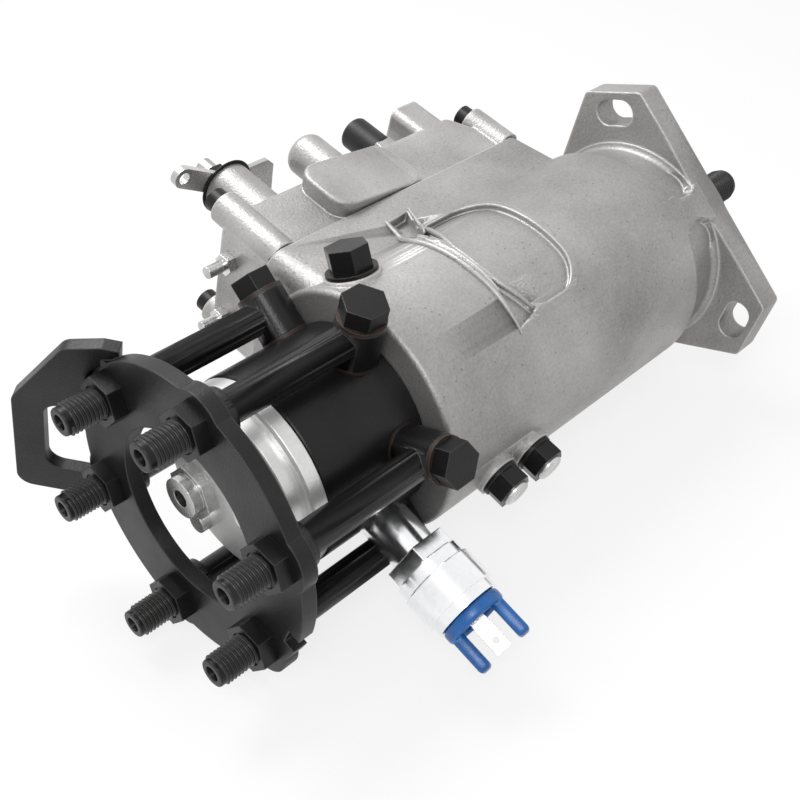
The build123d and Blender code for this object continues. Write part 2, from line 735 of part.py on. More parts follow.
def drive_bush():
    return tube(SHAFT_R + BUSH_WALL, SHAFT_R + RUN, BUSH_IN_X, BUSH_IN_X + BUSH_L)


def shaft_seal():
    return tube(SHAFT_R + SEAL_WALL, SHAFT_R + RUN, SEAL_X, SEAL_X + SEAL_L)


def rotor():
    body = rod(ROTOR_HEAD_R, rotor_front_x, rotor_rear_x)
    body += rod(ROTOR_R, vane_x, rotor_front_x + 1)
    body -= Pos(X=plunger_x) * post(PLUNGER_R + RUN, -ROTOR_HEAD_R, ROTOR_HEAD_R)
    for side in (1, -1):
        slot = Box(SHOE_L + 2 * RUN, SHOE_W + 2 * RUN, ROTOR_HEAD_R)
        body -= Pos(X=plunger_x, Z=side * (SHOE_INNER - RUN + ROTOR_HEAD_R / 2)) * slot
    return body


def plunger(side):
    middle = side * (PLUNGER_INNER + SHOE_INNER) / 2
    return Pos(plunger_x, 0, middle) * Cylinder(PLUNGER_R, SHOE_INNER - PLUNGER_INNER)


def cam_shoe(side):
    top = ROLLER_AT + 1
    body = block(plunger_x - SHOE_L / 2, plunger_x + SHOE_L / 2, SHOE_W / 2, SHOE_INNER, top)
    body -= Pos(X=plunger_x, Z=ROLLER_AT) * Rot(Y=90) * Cylinder(ROLLER_R + RUN, SHOE_L + 2)
    return Rot(X=0 if side > 0 else 180) * body


def cam_roller(side):
    body = Cylinder(ROLLER_R, SHOE_L - 1)
    return Pos(plunger_x, 0, side * ROLLER_AT) * Rot(Y=90) * body


def cam_ring():
    """Six inward lobes between six round hollows that the rollers run into."""
    bore = Circle(cam_tip_r)
    hollow_at = cam_tip_r + STROKE - CAM_DWELL_R + AIR
    for i in range(CAM_TIP_COUNT):
        bore += Pos(*clock_point(hollow_at, i * 360 / CAM_TIP_COUNT)) * Circle(CAM_DWELL_R)
    outline = Circle(HEAD_R) - bore
    return Pos(X=head_inner_x + AIR) * extrude(Plane.YZ * outline, CAM_L)


# --------------------------------------------------------------------- governor
def weight_carrier():
    body = turned([(CAGE_BACK_X, SHAFT_R + SEAT), (CAGE_BACK_X, CAGE_R),
                   (CAGE_BACK_X + CAGE_L, CAGE_R), (CAGE_BACK_X + CAGE_L, CAGE_R - CAGE_WALL),
                   (CAGE_BACK_X + CAGE_BACK_T, CAGE_R - CAGE_WALL),
                   (CAGE_BACK_X + CAGE_BACK_T, SHAFT_R + SEAT)])
    return body


def governor_weight(clock):
    """Weight that tips about its outer back edge; its toe pushes the sleeve."""
    low = WEIGHT_PIVOT_R - WEIGHT_DEEP
    body = block(weight_back_x, weight_back_x + WEIGHT_L, WEIGHT_W / 2, low, WEIGHT_PIVOT_R)
    body += block(weight_back_x, weight_back_x + TOE_T, TOE_HALF_W, TOE_INNER_R, low)
    body -= rod(SLEEVE_TOE_R + 1, weight_back_x + TOE_T, weight_back_x + WEIGHT_L + 1)
    return Rot(X=clock) * body


def thrust_sleeve():
    return turned([(sleeve_x, SHAFT_R + RUN), (sleeve_x, SLEEVE_TOE_R),
                   (sleeve_x + SLEEVE_TOE_T, SLEEVE_TOE_R), (sleeve_x + SLEEVE_TOE_T, SLEEVE_R),
                   (sleeve_end_x - SLEEVE_FLANGE_T, SLEEVE_R),
                   (sleeve_end_x - SLEEVE_FLANGE_T, SLEEVE_FLANGE_R),
                   (sleeve_end_x, SLEEVE_FLANGE_R), (sleeve_end_x, SHAFT_R + RUN)])


def governor_arm():
    """Forked arm on two trunnions, with rounded pads that follow the sleeve."""
    plate = block(arm_x, arm_x + ARM_T, ARM_HALF_W, -ARM_LOW, ARM_PIVOT_Z)
    plate += block(arm_x, arm_x + ARM_T, ARM_NECK_HALF_W, ARM_PIVOT_Z - 1, ARM_TOP_Z)
    plate -= block(arm_x - 1, arm_x + ARM_T + 1, ARM_SLOT_HALF_W, -ARM_LOW - 1,
                   ARM_SLOT_TOP_Z)
    for side in (1, -1):
        pad = Rot(X=90) * Cylinder(ARM_PAD_R, 2 * (ARM_HALF_W - ARM_PAD_Y))
        pad += Pos(X=ARM_PAD_R) * Box(2 * ARM_PAD_R, 2 * (ARM_HALF_W - ARM_PAD_Y), 2 * ARM_PAD_R)
        plate += Pos(arm_pad_x, side * ARM_PAD_Y, 0) * pad
    pin = Rot(X=90) * Cylinder(ARM_PIN_R, 2 * (CAVITY_HALF_W + ARM_PIN_OUT))
    plate += Pos(arm_x, 0, ARM_PIVOT_Z) * pin
    plate -= Pos(Y=METER_LEVER, Z=LINK_Z) * rod(LINK_R + AIR, arm_x - 1, arm_x + ARM_T + 1)
    return plate


def governor_link():
    """Rod from the arm to the metering valve lever, with an eye at one end."""
    nut_x = arm_x + ARM_T + LINK_PLAY
    body = rod(LINK_R, METER_X, nut_x + LINK_NUT_L)
    body += rod(LINK_R + LINK_STEP, nut_x, nut_x + LINK_NUT_L)
    body += rod(LINK_R + LINK_STEP, arm_x - LINK_PLAY - LINK_NUT_L, arm_x - LINK_PLAY)
    body += Pos(X=METER_X) * Cylinder(LINK_EYE_R, 2 * LINK_R)
    body -= Pos(X=METER_X) * Cylinder(LINK_EYE_BORE_R, 2 * LINK_R + 2)
    return Pos(Y=METER_LEVER, Z=LINK_Z) * body


def metering_valve():
    low = HEAD_R - METER_DEPTH + AIR
    body = post(METER_R, low, METER_TOP_Z + METER_LEVER_T)
    arm = Pos(0, METER_LEVER / 2, METER_TOP_Z + METER_LEVER_T / 2) * Box(
        METER_LEVER_W, METER_LEVER + METER_LEVER_W, METER_LEVER_T)
    body += arm
    body += Pos(Y=METER_LEVER) * post(METER_PIN_R, METER_TOP_Z, LINK_Z + LINK_R + 2)
    return Pos(X=METER_X) * body


# ------------------------------------- transfer pump, end plate and regulating valve
def pump_liner():
    body = rod(VANE_PUMP_R, head_face_x, vane_x)
    return body - Pos(Y=LINER_OFFSET) * rod(LINER_BORE_R, head_face_x - 1, vane_x + 1)


def transfer_rotor():
    body = rod(VANE_ROTOR_R, head_face_x + RUN, vane_x)
    slot = Box(VANE_PUMP_L + 2, VANE_T + 2 * RUN, VANE_H + 1)
    for side in (1, -1):
        body -= Pos((head_face_x + vane_x) / 2, 0, side * (VANE_ROTOR_R - VANE_H / 2 + 0.5)) * slot
    return body


def vane(side):
    length = VANE_PUMP_L - 2 * VANE_END_GAP
    middle = side * (VANE_ROTOR_R - VANE_H / 2)
    return Pos((head_face_x + vane_x) / 2, 0, middle) * Box(length, VANE_T, VANE_H)


def end_screw_clocks():
    return [END_SCREW_FIRST + i * 360 / END_SCREW_COUNT for i in range(END_SCREW_COUNT)]


def end_plate():
    body = turned([(head_face_x, 0), (head_face_x, END_DISC_R), (end_disc_x + 1, END_DISC_R),
                   (end_disc_x, END_DISC_R - 1), (end_disc_x, END_BOSS_R),
                   (end_face_x + 2, END_BOSS_R), (end_face_x, END_BOSS_R - 2),
                   (end_face_x, 0)])
    for clock in end_screw_clocks():
        y, z = clock_point(END_SCREW_PCD_R, clock)
        body -= along_axis(post(END_SCREW_R + SEAT, -head_face_x - 1, -end_face_x + 1), y, z)
    y, z = clock_point(INLET_AT_R, INLET_CLOCK)
    body -= along_axis(post(INLET_R - 1 + SEAT, -end_face_x - INLET_DEPTH, -end_face_x + 1), y, z)
    y, z = clock_point(REGULATOR_AT_R, REGULATOR_CLOCK)
    body -= along_axis(post(REGULATOR_R + SEAT, -head_face_x + REGULATOR_SKIN,
                            -end_face_x + 1), y, z)
    return body


def end_plate_screws():
    pieces = []
    for clock in end_screw_clocks():
        screw = post(END_SCREW_R, -head_face_x, -end_face_x + 1)
        screw += post(SCREW_HEAD_R - 1, -end_face_x, -end_face_x + SCREW_HEAD_H - 2)
        pieces.append(along_axis(screw, *clock_point(END_SCREW_PCD_R, clock)))
    return pieces


def inlet_union():
    base = -end_face_x
    body = post(INLET_R - 1, base - INLET_DEPTH + 1, base + 1)
    body += hexagon(INLET_HEX, base, base + INLET_HEX_H)
    body += post(INLET_R, base, base + INLET_L)
    body -= post(INLET_BORE_R, base - INLET_DEPTH, base + INLET_L + 1)
    return along_axis(body, *clock_point(INLET_AT_R, INLET_CLOCK))


def regulating_valve_body():
    base = -end_face_x
    low = -head_face_x + REGULATOR_SKIN + AIR
    body = post(REGULATOR_R, low, base + 1)
    body += hexagon(REGULATOR_HEX, base, base + REGULATOR_HEX_H)
    body -= post(REGULATOR_BORE_R + RUN, low - 1,
                 low + REGULATOR_PISTON_L + REGULATOR_TRAVEL + AIR)
    return along_axis(body, *clock_point(REGULATOR_AT_R, REGULATOR_CLOCK))


def regulating_piston():
    low = -head_face_x + REGULATOR_SKIN + AIR
    body = post(REGULATOR_BORE_R, low, low + REGULATOR_PISTON_L)
    return along_axis(body, *clock_point(REGULATOR_AT_R, REGULATOR_CLOCK))


# ------------------------------------------------------- bolts, plugs and washers
def head_bolts():
    seat = DRUM_R + BOLT_BOSS_OUT + WASHER_T
    bolt = post(HEAD_BOLT_R, HEAD_R - HEAD_BOLT_DEPTH, seat + 1)
    bolt += hexagon(HEAD_BOLT_HEX, seat, seat + HEAD_BOLT_HEX_H)
    return [at_clock(bolt, HEAD_BOLT_X, clock) for clock in HEAD_BOLT_CLOCKS]


def bolt_washers():
    washer = post(HEAD_BOLT_FLANGE_R, DRUM_R + BOLT_BOSS_OUT, DRUM_R + BOLT_BOSS_OUT + WASHER_T)
    washer -= post(HEAD_BOLT_R + SEAT, 0, DRUM_R + BOLT_BOSS_OUT + WASHER_T + 1)
    pieces = [at_clock(washer, HEAD_BOLT_X, clock) for clock in HEAD_BOLT_CLOCKS]
    seat = DRUM_R + PLUG_BOSS_OUT
    ring = post(PLUG_BOSS_R - 1, seat, seat + WASHER_T) - post(PLUG_R + SEAT, 0, seat + 2)
    return pieces + [at_clock(ring, x, PLUG_CLOCK) for x in PLUG_XS]


def side_plugs():
    seat = DRUM_R + PLUG_BOSS_OUT + WASHER_T
    plug = post(PLUG_R, HEAD_R + AIR, seat + 1) + hexagon(PLUG_HEX, seat, seat + PLUG_HEX_H)
    return [at_clock(plug, x, PLUG_CLOCK) for x in PLUG_XS]


# ----------------------------------------------------------------- stop solenoid
def solenoid_body():
    low = HEAD_R - SOLENOID_NECK_DEPTH + AIR
    hex_top = SOLENOID_START + SOLENOID_HEX_H
    body = post(SOLENOID_NECK_R, low, SOLENOID_START + 1)
    body += hexagon(SOLENOID_HEX, SOLENOID_START, hex_top)
    body += post(SOLENOID_BODY_R - SOLENOID_STEP, hex_top, SOLENOID_END)
    body += post(SOLENOID_BODY_R, hex_top + SOLENOID_BAND_LOW, SOLENOID_END - SOLENOID_BAND_TOP)
    body -= post(ARMATURE_R + RUN, low - 1, low + ARMATURE_L + ARMATURE_TRAVEL
                 + SOLENOID_SPRING_ROOM)
    return at_clock(body, SOLENOID_X, SOLENOID_CLOCK)


def solenoid_plunger():
    low = HEAD_R - SOLENOID_NECK_DEPTH + AIR
    return at_clock(post(ARMATURE_R, low, low + ARMATURE_L), SOLENOID_X, SOLENOID_CLOCK)


def solenoid_clip():
    """Plastic terminal guard: a base and two arms beside the blade."""
    base_top = SOLENOID_END + CLIP_T
    body = block(-CLIP_DEPTH / 2, CLIP_DEPTH / 2, CLIP_HALF_W, SOLENOID_END, base_top)
    for side in (1, -1):
        arm = Box(CLIP_DEPTH, CLIP_ARM_W, CLIP_ARM_L)
        body += Pos(0, side * (CLIP_HALF_W - CLIP_ARM_W / 2), base_top + CLIP_ARM_L / 2) * arm
    body -= spade_blade()
    return at_clock(body, SOLENOID_X, SOLENOID_CLOCK)


def spade_blade():
    top = SOLENOID_END + CLIP_T + SPADE_L
    blade = block(-SPADE_T / 2, SPADE_T / 2, SPADE_W / 2, SOLENOID_END, top)
    blade = chamfer(blade.edges().filter_by(Axis.X).sort_by(Axis.Z)[-2:], 1)
    return blade - Pos(Z=top - SPADE_W / 2) * rod(SPADE_HOLE_R, -SPADE_T, SPADE_T)


def spade_terminal():
    return at_clock(spade_blade(), SOLENOID_X, SOLENOID_CLOCK)


# ---------------------------------------------------------------- throttle lever
def throttle_shaft():
    top = lever_z + THROTTLE_SHAFT_OUT
    low = cover_top_z - THROTTLE_SHAFT_IN
    return Pos(THROTTLE_X, THROTTLE_Y) * post(THROTTLE_SHAFT_R, low, top)


def throttle_lever():
    """Pressed lever with a hub, a drilled end and an upturned stop tab."""
    outline = Circle(LEVER_HUB_R)
    outline += Pos(X=-LEVER_L / 2) * Rectangle(LEVER_L, LEVER_W)
    outline += Pos(X=-LEVER_L) * Circle(LEVER_W / 2)
    outline += Pos(X=LEVER_L / 3) * Rectangle(LEVER_L * 2 / 3, LEVER_W)
    outline -= Pos(X=-LEVER_L) * Circle(LEVER_HOLE_R)
    outline -= Circle(THROTTLE_SHAFT_R + SEAT)
    body = extrude(outline, LEVER_T)
    body += Pos(X=LEVER_L * 2 / 3 - LEVER_T / 2, Z=LEVER_TAB_H / 2) * Box(
        LEVER_T, LEVER_W, LEVER_TAB_H)
    return Pos(THROTTLE_X, THROTTLE_Y, lever_z) * Rot(Z=LEVER_CLOCK) * body


def throttle_nut():
    low = lever_z + LEVER_T
    nut = hexagon(NUT_HEX, low, low + NUT_H)
    nut -= post(THROTTLE_SHAFT_R + SEAT, low - 1, low + NUT_H + 1)
    return Pos(THROTTLE_X, THROTTLE_Y) * nut


# ----------------------------------------------------------------- write the nodes
nodes = {
    "pump_housing": pump_housing(),
    "governor_cover": governor_cover(),
    "cover_gasket": cover_gasket(),
    "cover_screws": cover_screws(),
    "stop_screws": stop_screws(),
    "return_union": return_union(),
    "dust_cap": dust_cap(),
    "hydraulic_head": hydraulic_head(),
    "head_seal": head_seal(),
    "head_bolts": head_bolts(),
    "bolt_washers": bolt_washers(),
    "side_plugs": side_plugs(),
    "banjo_bolts": [at_clock(banjo_bolt(), BANJO_X, clock) for clock in OUTLET_CLOCKS],
    "banjo_washers": banjo_washers(),
    "pipe_locknuts": pipe_locknuts(),
    "pipe_clamp_plate": pipe_clamp_plate(),
    "cam_ring": cam_ring(),
    "pump_liner": pump_liner(),
    "end_plate": end_plate(),
    "end_plate_screws": end_plate_screws(),
    "inlet_union": inlet_union(),
    "regulating_valve_body": regulating_valve_body(),
    "regulating_piston": regulating_piston(),
    "drive_bush": drive_bush(),
    "shaft_seal": shaft_seal(),
    "drive_shaft": drive_shaft(),
    "shaft_key": shaft_key(),
    "rotor": rotor(),
    "transfer_rotor": transfer_rotor(),
    "weight_carrier": weight_carrier(),
    "thrust_sleeve": thrust_sleeve(),
    "governor_arm": governor_arm(),
    "governor_link": governor_link(),
    "metering_valve": metering_valve(),
    "solenoid_body": solenoid_body(),
    "solenoid_plunger": solenoid_plunger(),
    "solenoid_clip": solenoid_clip(),
    "spade_terminal": spade_terminal(),
    "throttle_shaft": throttle_shaft(),
    "throttle_lever": throttle_lever(),
    "throttle_nut": throttle_nut(),
}
for i, clock in enumerate(OUTLET_CLOCKS):
    nodes[f"outlet_pipe_{i + 1}"] = at_clock(outlet_pipe(), BANJO_X, clock)
for i in range(WEIGHTS):
    nodes[f"governor_weight_{i + 1}"] = governor_weight(WEIGHT_FIRST + i * 360 / WEIGHTS)
for number, side in ((1, 1), (2, -1)):
    nodes[f"plunger_{number}"] = plunger(side)
    nodes[f"cam_shoe_{number}"] = cam_shoe(side)
    nodes[f"cam_roller_{number}"] = cam_roller(side)
    nodes[f"vane_{number}"] = vane(side)

os.makedirs("parts", exist_ok=True)
for name, shape in nodes.items():
    solids = shape if isinstance(shape, list) else shape.solids()
    placed = [Rot(X=ROLL) * solid for solid in solids]
    export_step(placed[0] if len(placed) == 1 else Compound(children=placed),
                f"parts/{name}.step")
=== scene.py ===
import json
import math

import bpy
from mathutils import Matrix, Vector


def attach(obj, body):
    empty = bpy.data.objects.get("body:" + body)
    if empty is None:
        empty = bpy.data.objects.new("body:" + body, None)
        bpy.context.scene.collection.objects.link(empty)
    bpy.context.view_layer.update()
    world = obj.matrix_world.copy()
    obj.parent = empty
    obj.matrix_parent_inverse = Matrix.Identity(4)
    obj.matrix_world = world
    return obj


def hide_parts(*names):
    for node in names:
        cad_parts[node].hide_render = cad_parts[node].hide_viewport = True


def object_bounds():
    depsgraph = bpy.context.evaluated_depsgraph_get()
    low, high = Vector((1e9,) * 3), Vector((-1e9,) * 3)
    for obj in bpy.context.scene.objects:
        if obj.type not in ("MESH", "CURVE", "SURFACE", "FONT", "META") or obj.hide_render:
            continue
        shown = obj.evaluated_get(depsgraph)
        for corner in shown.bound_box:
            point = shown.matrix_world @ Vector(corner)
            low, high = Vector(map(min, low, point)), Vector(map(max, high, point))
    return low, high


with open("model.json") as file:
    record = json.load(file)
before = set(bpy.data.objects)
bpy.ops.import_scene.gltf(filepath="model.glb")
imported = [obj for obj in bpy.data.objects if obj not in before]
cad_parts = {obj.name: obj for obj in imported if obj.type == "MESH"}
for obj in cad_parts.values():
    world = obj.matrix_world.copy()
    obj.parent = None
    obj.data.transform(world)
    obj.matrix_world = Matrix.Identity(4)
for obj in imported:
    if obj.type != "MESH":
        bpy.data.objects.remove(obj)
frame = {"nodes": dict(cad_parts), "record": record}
cad_box = [list(corner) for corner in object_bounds()]
nodes = frame["nodes"]
mounts = {mount["name"]: mount for mount in frame["record"]["mounts"]}

# ------------------------------------------------------------------ camera
# The pump lies on a table and is seen from its outlet end, from about half a metre away
# and well above, so that the six outlets come towards the viewer.
CAMERA_PLACE = Vector((-0.4249, -0.2503, 0.2698))
CAMERA_RIGHT = Vector((0.69253, -0.72139, 0.0))
CAMERA_UP = Vector((0.43910, 0.42153, 0.79341))
CAMERA_LENS = 52.38
SENSOR_WIDTH = 36
camera_data = bpy.data.cameras.new("camera")
camera_data.lens = CAMERA_LENS
camera_data.sensor_width = SENSOR_WIDTH
camera = bpy.data.objects.new("camera", camera_data)
bpy.context.scene.collection.objects.link(camera)
axes = Matrix((CAMERA_RIGHT, CAMERA_UP, CAMERA_RIGHT.cross(CAMERA_UP))).transposed()
camera.matrix_world = Matrix.Translation(CAMERA_PLACE) @ axes.to_4x4()
bpy.context.scene.camera = camera
bpy.context.scene.view_settings.view_transform = "Standard"

# ------------------------------------------------------------------ table top
# A white laminate table top. The camera and the metal's reflections see it lifted most
# of the way to white, and it keeps the soft shadow of the pump.
FLOOR_DROP = 0.0003
FLOOR_SIZE = 8.0
FLOOR_LIFT = 0.8


def rays_that_see(tree):
    """One for camera, glossy and transmission rays, and nothing for the others."""
    seen = tree.nodes.new("ShaderNodeLightPath")
    total = seen.outputs["Is Camera Ray"]
    for name in ("Is Glossy Ray", "Is Transmission Ray"):
        both = tree.nodes.new("ShaderNodeMath")
        both.operation = "MAXIMUM"
        tree.links.new(total, both.inputs[0])
        tree.links.new(seen.outputs[name], both.inputs[1])
        total = both.outputs["Value"]
    return total


bpy.ops.object.select_all(action="DESELECT")
bpy.ops.mesh.primitive_plane_add(size=FLOOR_SIZE, location=(0, 0, cad_box[0][2] - FLOOR_DROP))
floor = bpy.context.object
floor.name = "table_top"
floor_material = bpy.data.materials.new("white_table")
floor_material.use_nodes = True
floor_tree = floor_material.node_tree
floor_shader = floor_tree.nodes["Principled BSDF"]
floor_shader.inputs["Base Color"].default_value = (0.86, 0.86, 0.86, 1)
floor_shader.inputs["Roughness"].default_value = 0.8
floor_shader.inputs["Specular IOR Level"].default_value = 0.1
paper = floor_tree.nodes.new("ShaderNodeEmission")
paper.inputs["Strength"].default_value = 1
lift = floor_tree.nodes.new("ShaderNodeMath")
lift.operation = "MULTIPLY"
lift.inputs[1].default_value = FLOOR_LIFT
floor_mix = floor_tree.nodes.new("ShaderNodeMixShader")
floor_tree.links.new(rays_that_see(floor_tree), lift.inputs[0])
floor_tree.links.new(lift.outputs["Value"], floor_mix.inputs["Fac"])
floor_tree.links.new(floor_shader.outputs["BSDF"], floor_mix.inputs[1])
floor_tree.links.new(paper.outputs["Emission"], floor_mix.inputs[2])
floor_tree.links.new(floor_mix.outputs["Shader"],
                     floor_tree.nodes["Material Output"].inputs["Surface"])
floor.data.materials.append(floor_material)

# ------------------------------------------------------------------ studio light
# One large soft lamp above and behind, a weaker one from the outlet side, and an even
# surround that the camera and the metal see as white.
SURROUND = 0.55
world = bpy.data.worlds.new("studio")
world.use_nodes = True
bpy.context.scene.world = world
sky = world.node_tree.nodes["Background"]
sky.inputs["Color"].default_value = (1, 1, 1, 1)
sky_level = world.node_tree.nodes.new("ShaderNodeMapRange")
sky_level.inputs["To Min"].default_value = SURROUND
sky_level.inputs["To Max"].default_value = 1
world.node_tree.links.new(rays_that_see(world.node_tree), sky_level.inputs["Value"])
world.node_tree.links.new(sky_level.outputs["Result"], sky.inputs["Strength"])


def soft_lamp(name, place, aim, size, watts):
    lamp = bpy.data.lights.new(name, "AREA")
    lamp.shape = "DISK"
    lamp.size = size
    lamp.energy = watts
    holder = bpy.data.objects.new(name, lamp)
    bpy.context.scene.collection.objects.link(holder)
    turn = (Vector(aim) - Vector(place)).to_track_quat("-Z", "Y").to_matrix().to_4x4()
    holder.matrix_world = Matrix.Translation(place) @ turn


soft_lamp("top_lamp", place=(-0.2, 0.5, 0.85), aim=(-0.13, 0, 0), size=0.55, watts=8)
soft_lamp("side_lamp", place=(-0.62, -0.38, 0.62), aim=(-0.2, 0, 0), size=0.3, watts=2.5)


# ------------------------------------------------------------------ pump casting
# The body is sand-cast aluminium: a fine sandy skin with broader clouds of darker grey,
# small dark pits, and edges rounded by the mould, made paler by a painted highlight.
def make_worn_skin():
    """Rounds sharp edges, lays grain on them, and masks the pits and the edges for a painted
    highlight.
    """
    group = bpy.data.node_groups.new("skin_and_painted_highlight", "ShaderNodeTree")
    for name, value in (("Radius", 0.001), ("Grain Size", 1200), ("Grain Depth", 0.0001),
                        ("Pit Size", 260)):
        socket = group.interface.new_socket(name, in_out="INPUT", socket_type="NodeSocketFloat")
        socket.default_value = value
    group.interface.new_socket("Normal", in_out="OUTPUT", socket_type="NodeSocketVector")
    for name in ("Speckle", "Painted Edge Highlight", "Pits"):
        group.interface.new_socket(name, in_out="OUTPUT", socket_type="NodeSocketFloat")
    add, join = group.nodes.new, group.links.new
    given, out = add("NodeGroupInput"), add("NodeGroupOutput")
    place = add("ShaderNodeTexCoord")
    noise = add("ShaderNodeTexNoise")
    noise.inputs["Detail"].default_value = 3
    cells = add("ShaderNodeTexVoronoi")
    rounded = add("ShaderNodeBevel")
    rounded.samples = 6
    surface = add("ShaderNodeNewGeometry")
    bump = add("ShaderNodeBump")
    bump.inputs["Strength"].default_value = 1
    turn = add("ShaderNodeVectorMath")
    turn.operation = "DOT_PRODUCT"
    # Painted highlight: this mask is one along rounded edges, where the paler edge colour goes.
    edge_highlight = add("ShaderNodeMapRange")
    edge_highlight.inputs["From Min"].default_value = 0.995
    edge_highlight.inputs["From Max"].default_value = 0.85
    pits = add("ShaderNodeMapRange")
    pits.inputs["From Min"].default_value = 0.16
    pits.inputs["From Max"].default_value = 0.05
    join(place.outputs["Object"], noise.inputs["Vector"])
    join(place.outputs["Object"], cells.inputs["Vector"])
    join(given.outputs["Grain Size"], noise.inputs["Scale"])
    join(given.outputs["Pit Size"], cells.inputs["Scale"])
    join(given.outputs["Radius"], rounded.inputs["Radius"])
    join(given.outputs["Grain Depth"], bump.inputs["Distance"])
    join(noise.outputs["Fac"], bump.inputs["Height"])
    join(rounded.outputs["Normal"], bump.inputs["Normal"])
    join(rounded.outputs["Normal"], turn.inputs[0])
    join(surface.outputs["Normal"], turn.inputs[1])
    join(turn.outputs["Value"], edge_highlight.inputs["Value"])
    join(cells.outputs["Distance"], pits.inputs["Value"])
    join(bump.outputs["Normal"], out.inputs["Normal"])
    join(noise.outputs["Fac"], out.inputs["Speckle"])
    join(edge_highlight.outputs["Result"], out.inputs["Painted Edge Highlight"])
    join(pits.outputs["Result"], out.inputs["Pits"])
    return group


skin_and_painted_highlight = make_worn_skin()


def finish(name, dark, light, edge_highlight_colour, metallic, rough, radius, grain_size, grain_depth,
           cloud_size=30, pitting=0.0, gloss=0.5):
    """A clouded finish whose colour and roughness vary, with a painted highlight along its
    edges.
    """
    material = bpy.data.materials.new(name)
    material.use_nodes = True
    tree = material.node_tree
    add, join = tree.nodes.new, tree.links.new
    shader = tree.nodes["Principled BSDF"]
    shader.inputs["Metallic"].default_value = metallic
    shader.inputs["Specular IOR Level"].default_value = gloss
    skin = add("ShaderNodeGroup")
    skin.node_tree = skin_and_painted_highlight
    skin.inputs["Radius"].default_value = radius
    skin.inputs["Grain Size"].default_value = grain_size
    skin.inputs["Grain Depth"].default_value = grain_depth
    place = add("ShaderNodeTexCoord")
    clouds = add("ShaderNodeTexNoise")
    clouds.inputs["Scale"].default_value = cloud_size
    clouds.inputs["Detail"].default_value = 5
    blend = add("ShaderNodeMath")
    blend.operation = "MULTIPLY_ADD"
    blend.inputs[1].default_value = 0.35
    tones = add("ShaderNodeValToRGB")
    tones.color_ramp.elements[0].position = 0.45
    tones.color_ramp.elements[0].color = (*dark, 1)
    tones.color_ramp.elements[1].position = 0.9
    tones.color_ramp.elements[1].color = (*light, 1)
    pitted = add("ShaderNodeMix")
    pitted.data_type = "RGBA"
    pitted.inputs["B"].default_value = (*[0.35 * tone for tone in dark], 1)
    pit_share = add("ShaderNodeMath")
    pit_share.operation = "MULTIPLY"
    pit_share.inputs[1].default_value = pitting
    # Painted highlight: the edges take the paler edge colour in place of the clouded tone.
    highlighted_edges = add("ShaderNodeMix")
    highlighted_edges.data_type = "RGBA"
    highlighted_edges.inputs["B"].default_value = (*edge_highlight_colour, 1)
    polish = add("ShaderNodeMapRange")
    polish.inputs["From Min"].default_value = 0.35
    polish.inputs["From Max"].default_value = 0.95
    polish.inputs["To Min"].default_value = rough + 0.08
    polish.inputs["To Max"].default_value = rough - 0.08
    join(place.outputs["Object"], clouds.inputs["Vector"])
    join(skin.outputs["Speckle"], blend.inputs[0])
    join(clouds.outputs["Fac"], blend.inputs[2])
    join(blend.outputs["Value"], tones.inputs["Fac"])
    join(blend.outputs["Value"], polish.inputs["Value"])
    join(skin.outputs["Pits"], pit_share.inputs[0])
    join(pit_share.outputs["Value"], pitted.inputs["Factor"])
    join(tones.outputs["Color"], pitted.inputs["A"])
    join(skin.outputs["Painted Edge Highlight"], highlighted_edges.inputs["Factor"])
    join(pitted.outputs["Result"], highlighted_edges.inputs["A"])
    join(highlighted_edges.outputs["Result"], shader.inputs["Base Color"])
    join(polish.outputs["Result"], shader.inputs["Roughness"])
    join(skin.outputs["Normal"], shader.inputs["Normal"])
    return material


def wear(material, *names):
    for name in names:
        nodes[name].data.materials.clear()
        nodes[name].data.materials.append(material)


cast_alloy = finish("sand_cast_alloy", (0.235, 0.228, 0.224), (0.46, 0.45, 0.445),
                    (0.62, 0.61, 0.6), metallic=0.55, rough=0.45, radius=0.0014, grain_size=900,
                    grain_depth=0.0002, cloud_size=17, pitting=0.5)
ROLL = math.radians(-74.8)
DRUM_R = 0.05
NECK_R = 0.045
NECK_MIDDLE = -0.022
NECK_ENDS = (-0.04, -0.005)
WEBS = (120, 240, 360)
SCOOP_R = 0.009
SCOOP_LONG = 0.014
SCOOP_SINK = 0.002
WEB_WAIST = 0.010
SIDE_FOOT = (0.038, 0.029)
SIDE_TOP = (0.034, 0.058)
RIDGE_R = 0.0013
RIDGE_LIFT = 0.0003
RIDGE_STEPS = 36
HOLLOW_DEPTH = 0.002
APEX_DEPTH = 0.0035
FORK_DEPTH = 0.005
NEAR_RIDGE = ((-0.136, 0.046), (-0.1415, 0.028), (-0.142, 0.014), (-0.142, 0.0),
              (-0.1412, -0.012), (-0.141, -0.030))
FAR_RIDGE = ((-0.122, 0.047), (-0.132, 0.0245), (-0.1378, 0.010), (-0.1383, -0.001),
             (-0.137, -0.011), (-0.129, -0.0275))
UPPER_HOLLOW = ((-0.1375, 0.0215), (-0.1235, 0.046), (-0.1350, 0.045))
LOWER_HOLLOW = ((-0.1393, -0.008), (-0.1300, -0.026), (-0.1402, -0.028))
HOLLOW_START = -0.06
LOWER_THRUST = 0.04
UPPER_THRUST = 0.02
HOLLOW_FLOOR_ENDS = (-0.16, -0.11)
lying = Matrix.Rotation(ROLL, 4, "X")


def merged_copy(node, name):
    """A copy of a node's mesh with its loose triangles joined up."""
    bpy.ops.object.select_all(action="DESELECT")
    copy = bpy.data.objects.new(name, nodes[node].data.copy())
    bpy.context.scene.collection.objects.link(copy)
    copy.select_set(True)
    bpy.context.view_layer.objects.active = copy
    bpy.ops.object.mode_set(mode="EDIT")
    bpy.ops.mesh.select_all(action="SELECT")
    bpy.ops.mesh.remove_doubles(threshold=1e-6)
    bpy.ops.object.mode_set(mode="OBJECT")
    copy.data.materials.clear()
    return copy


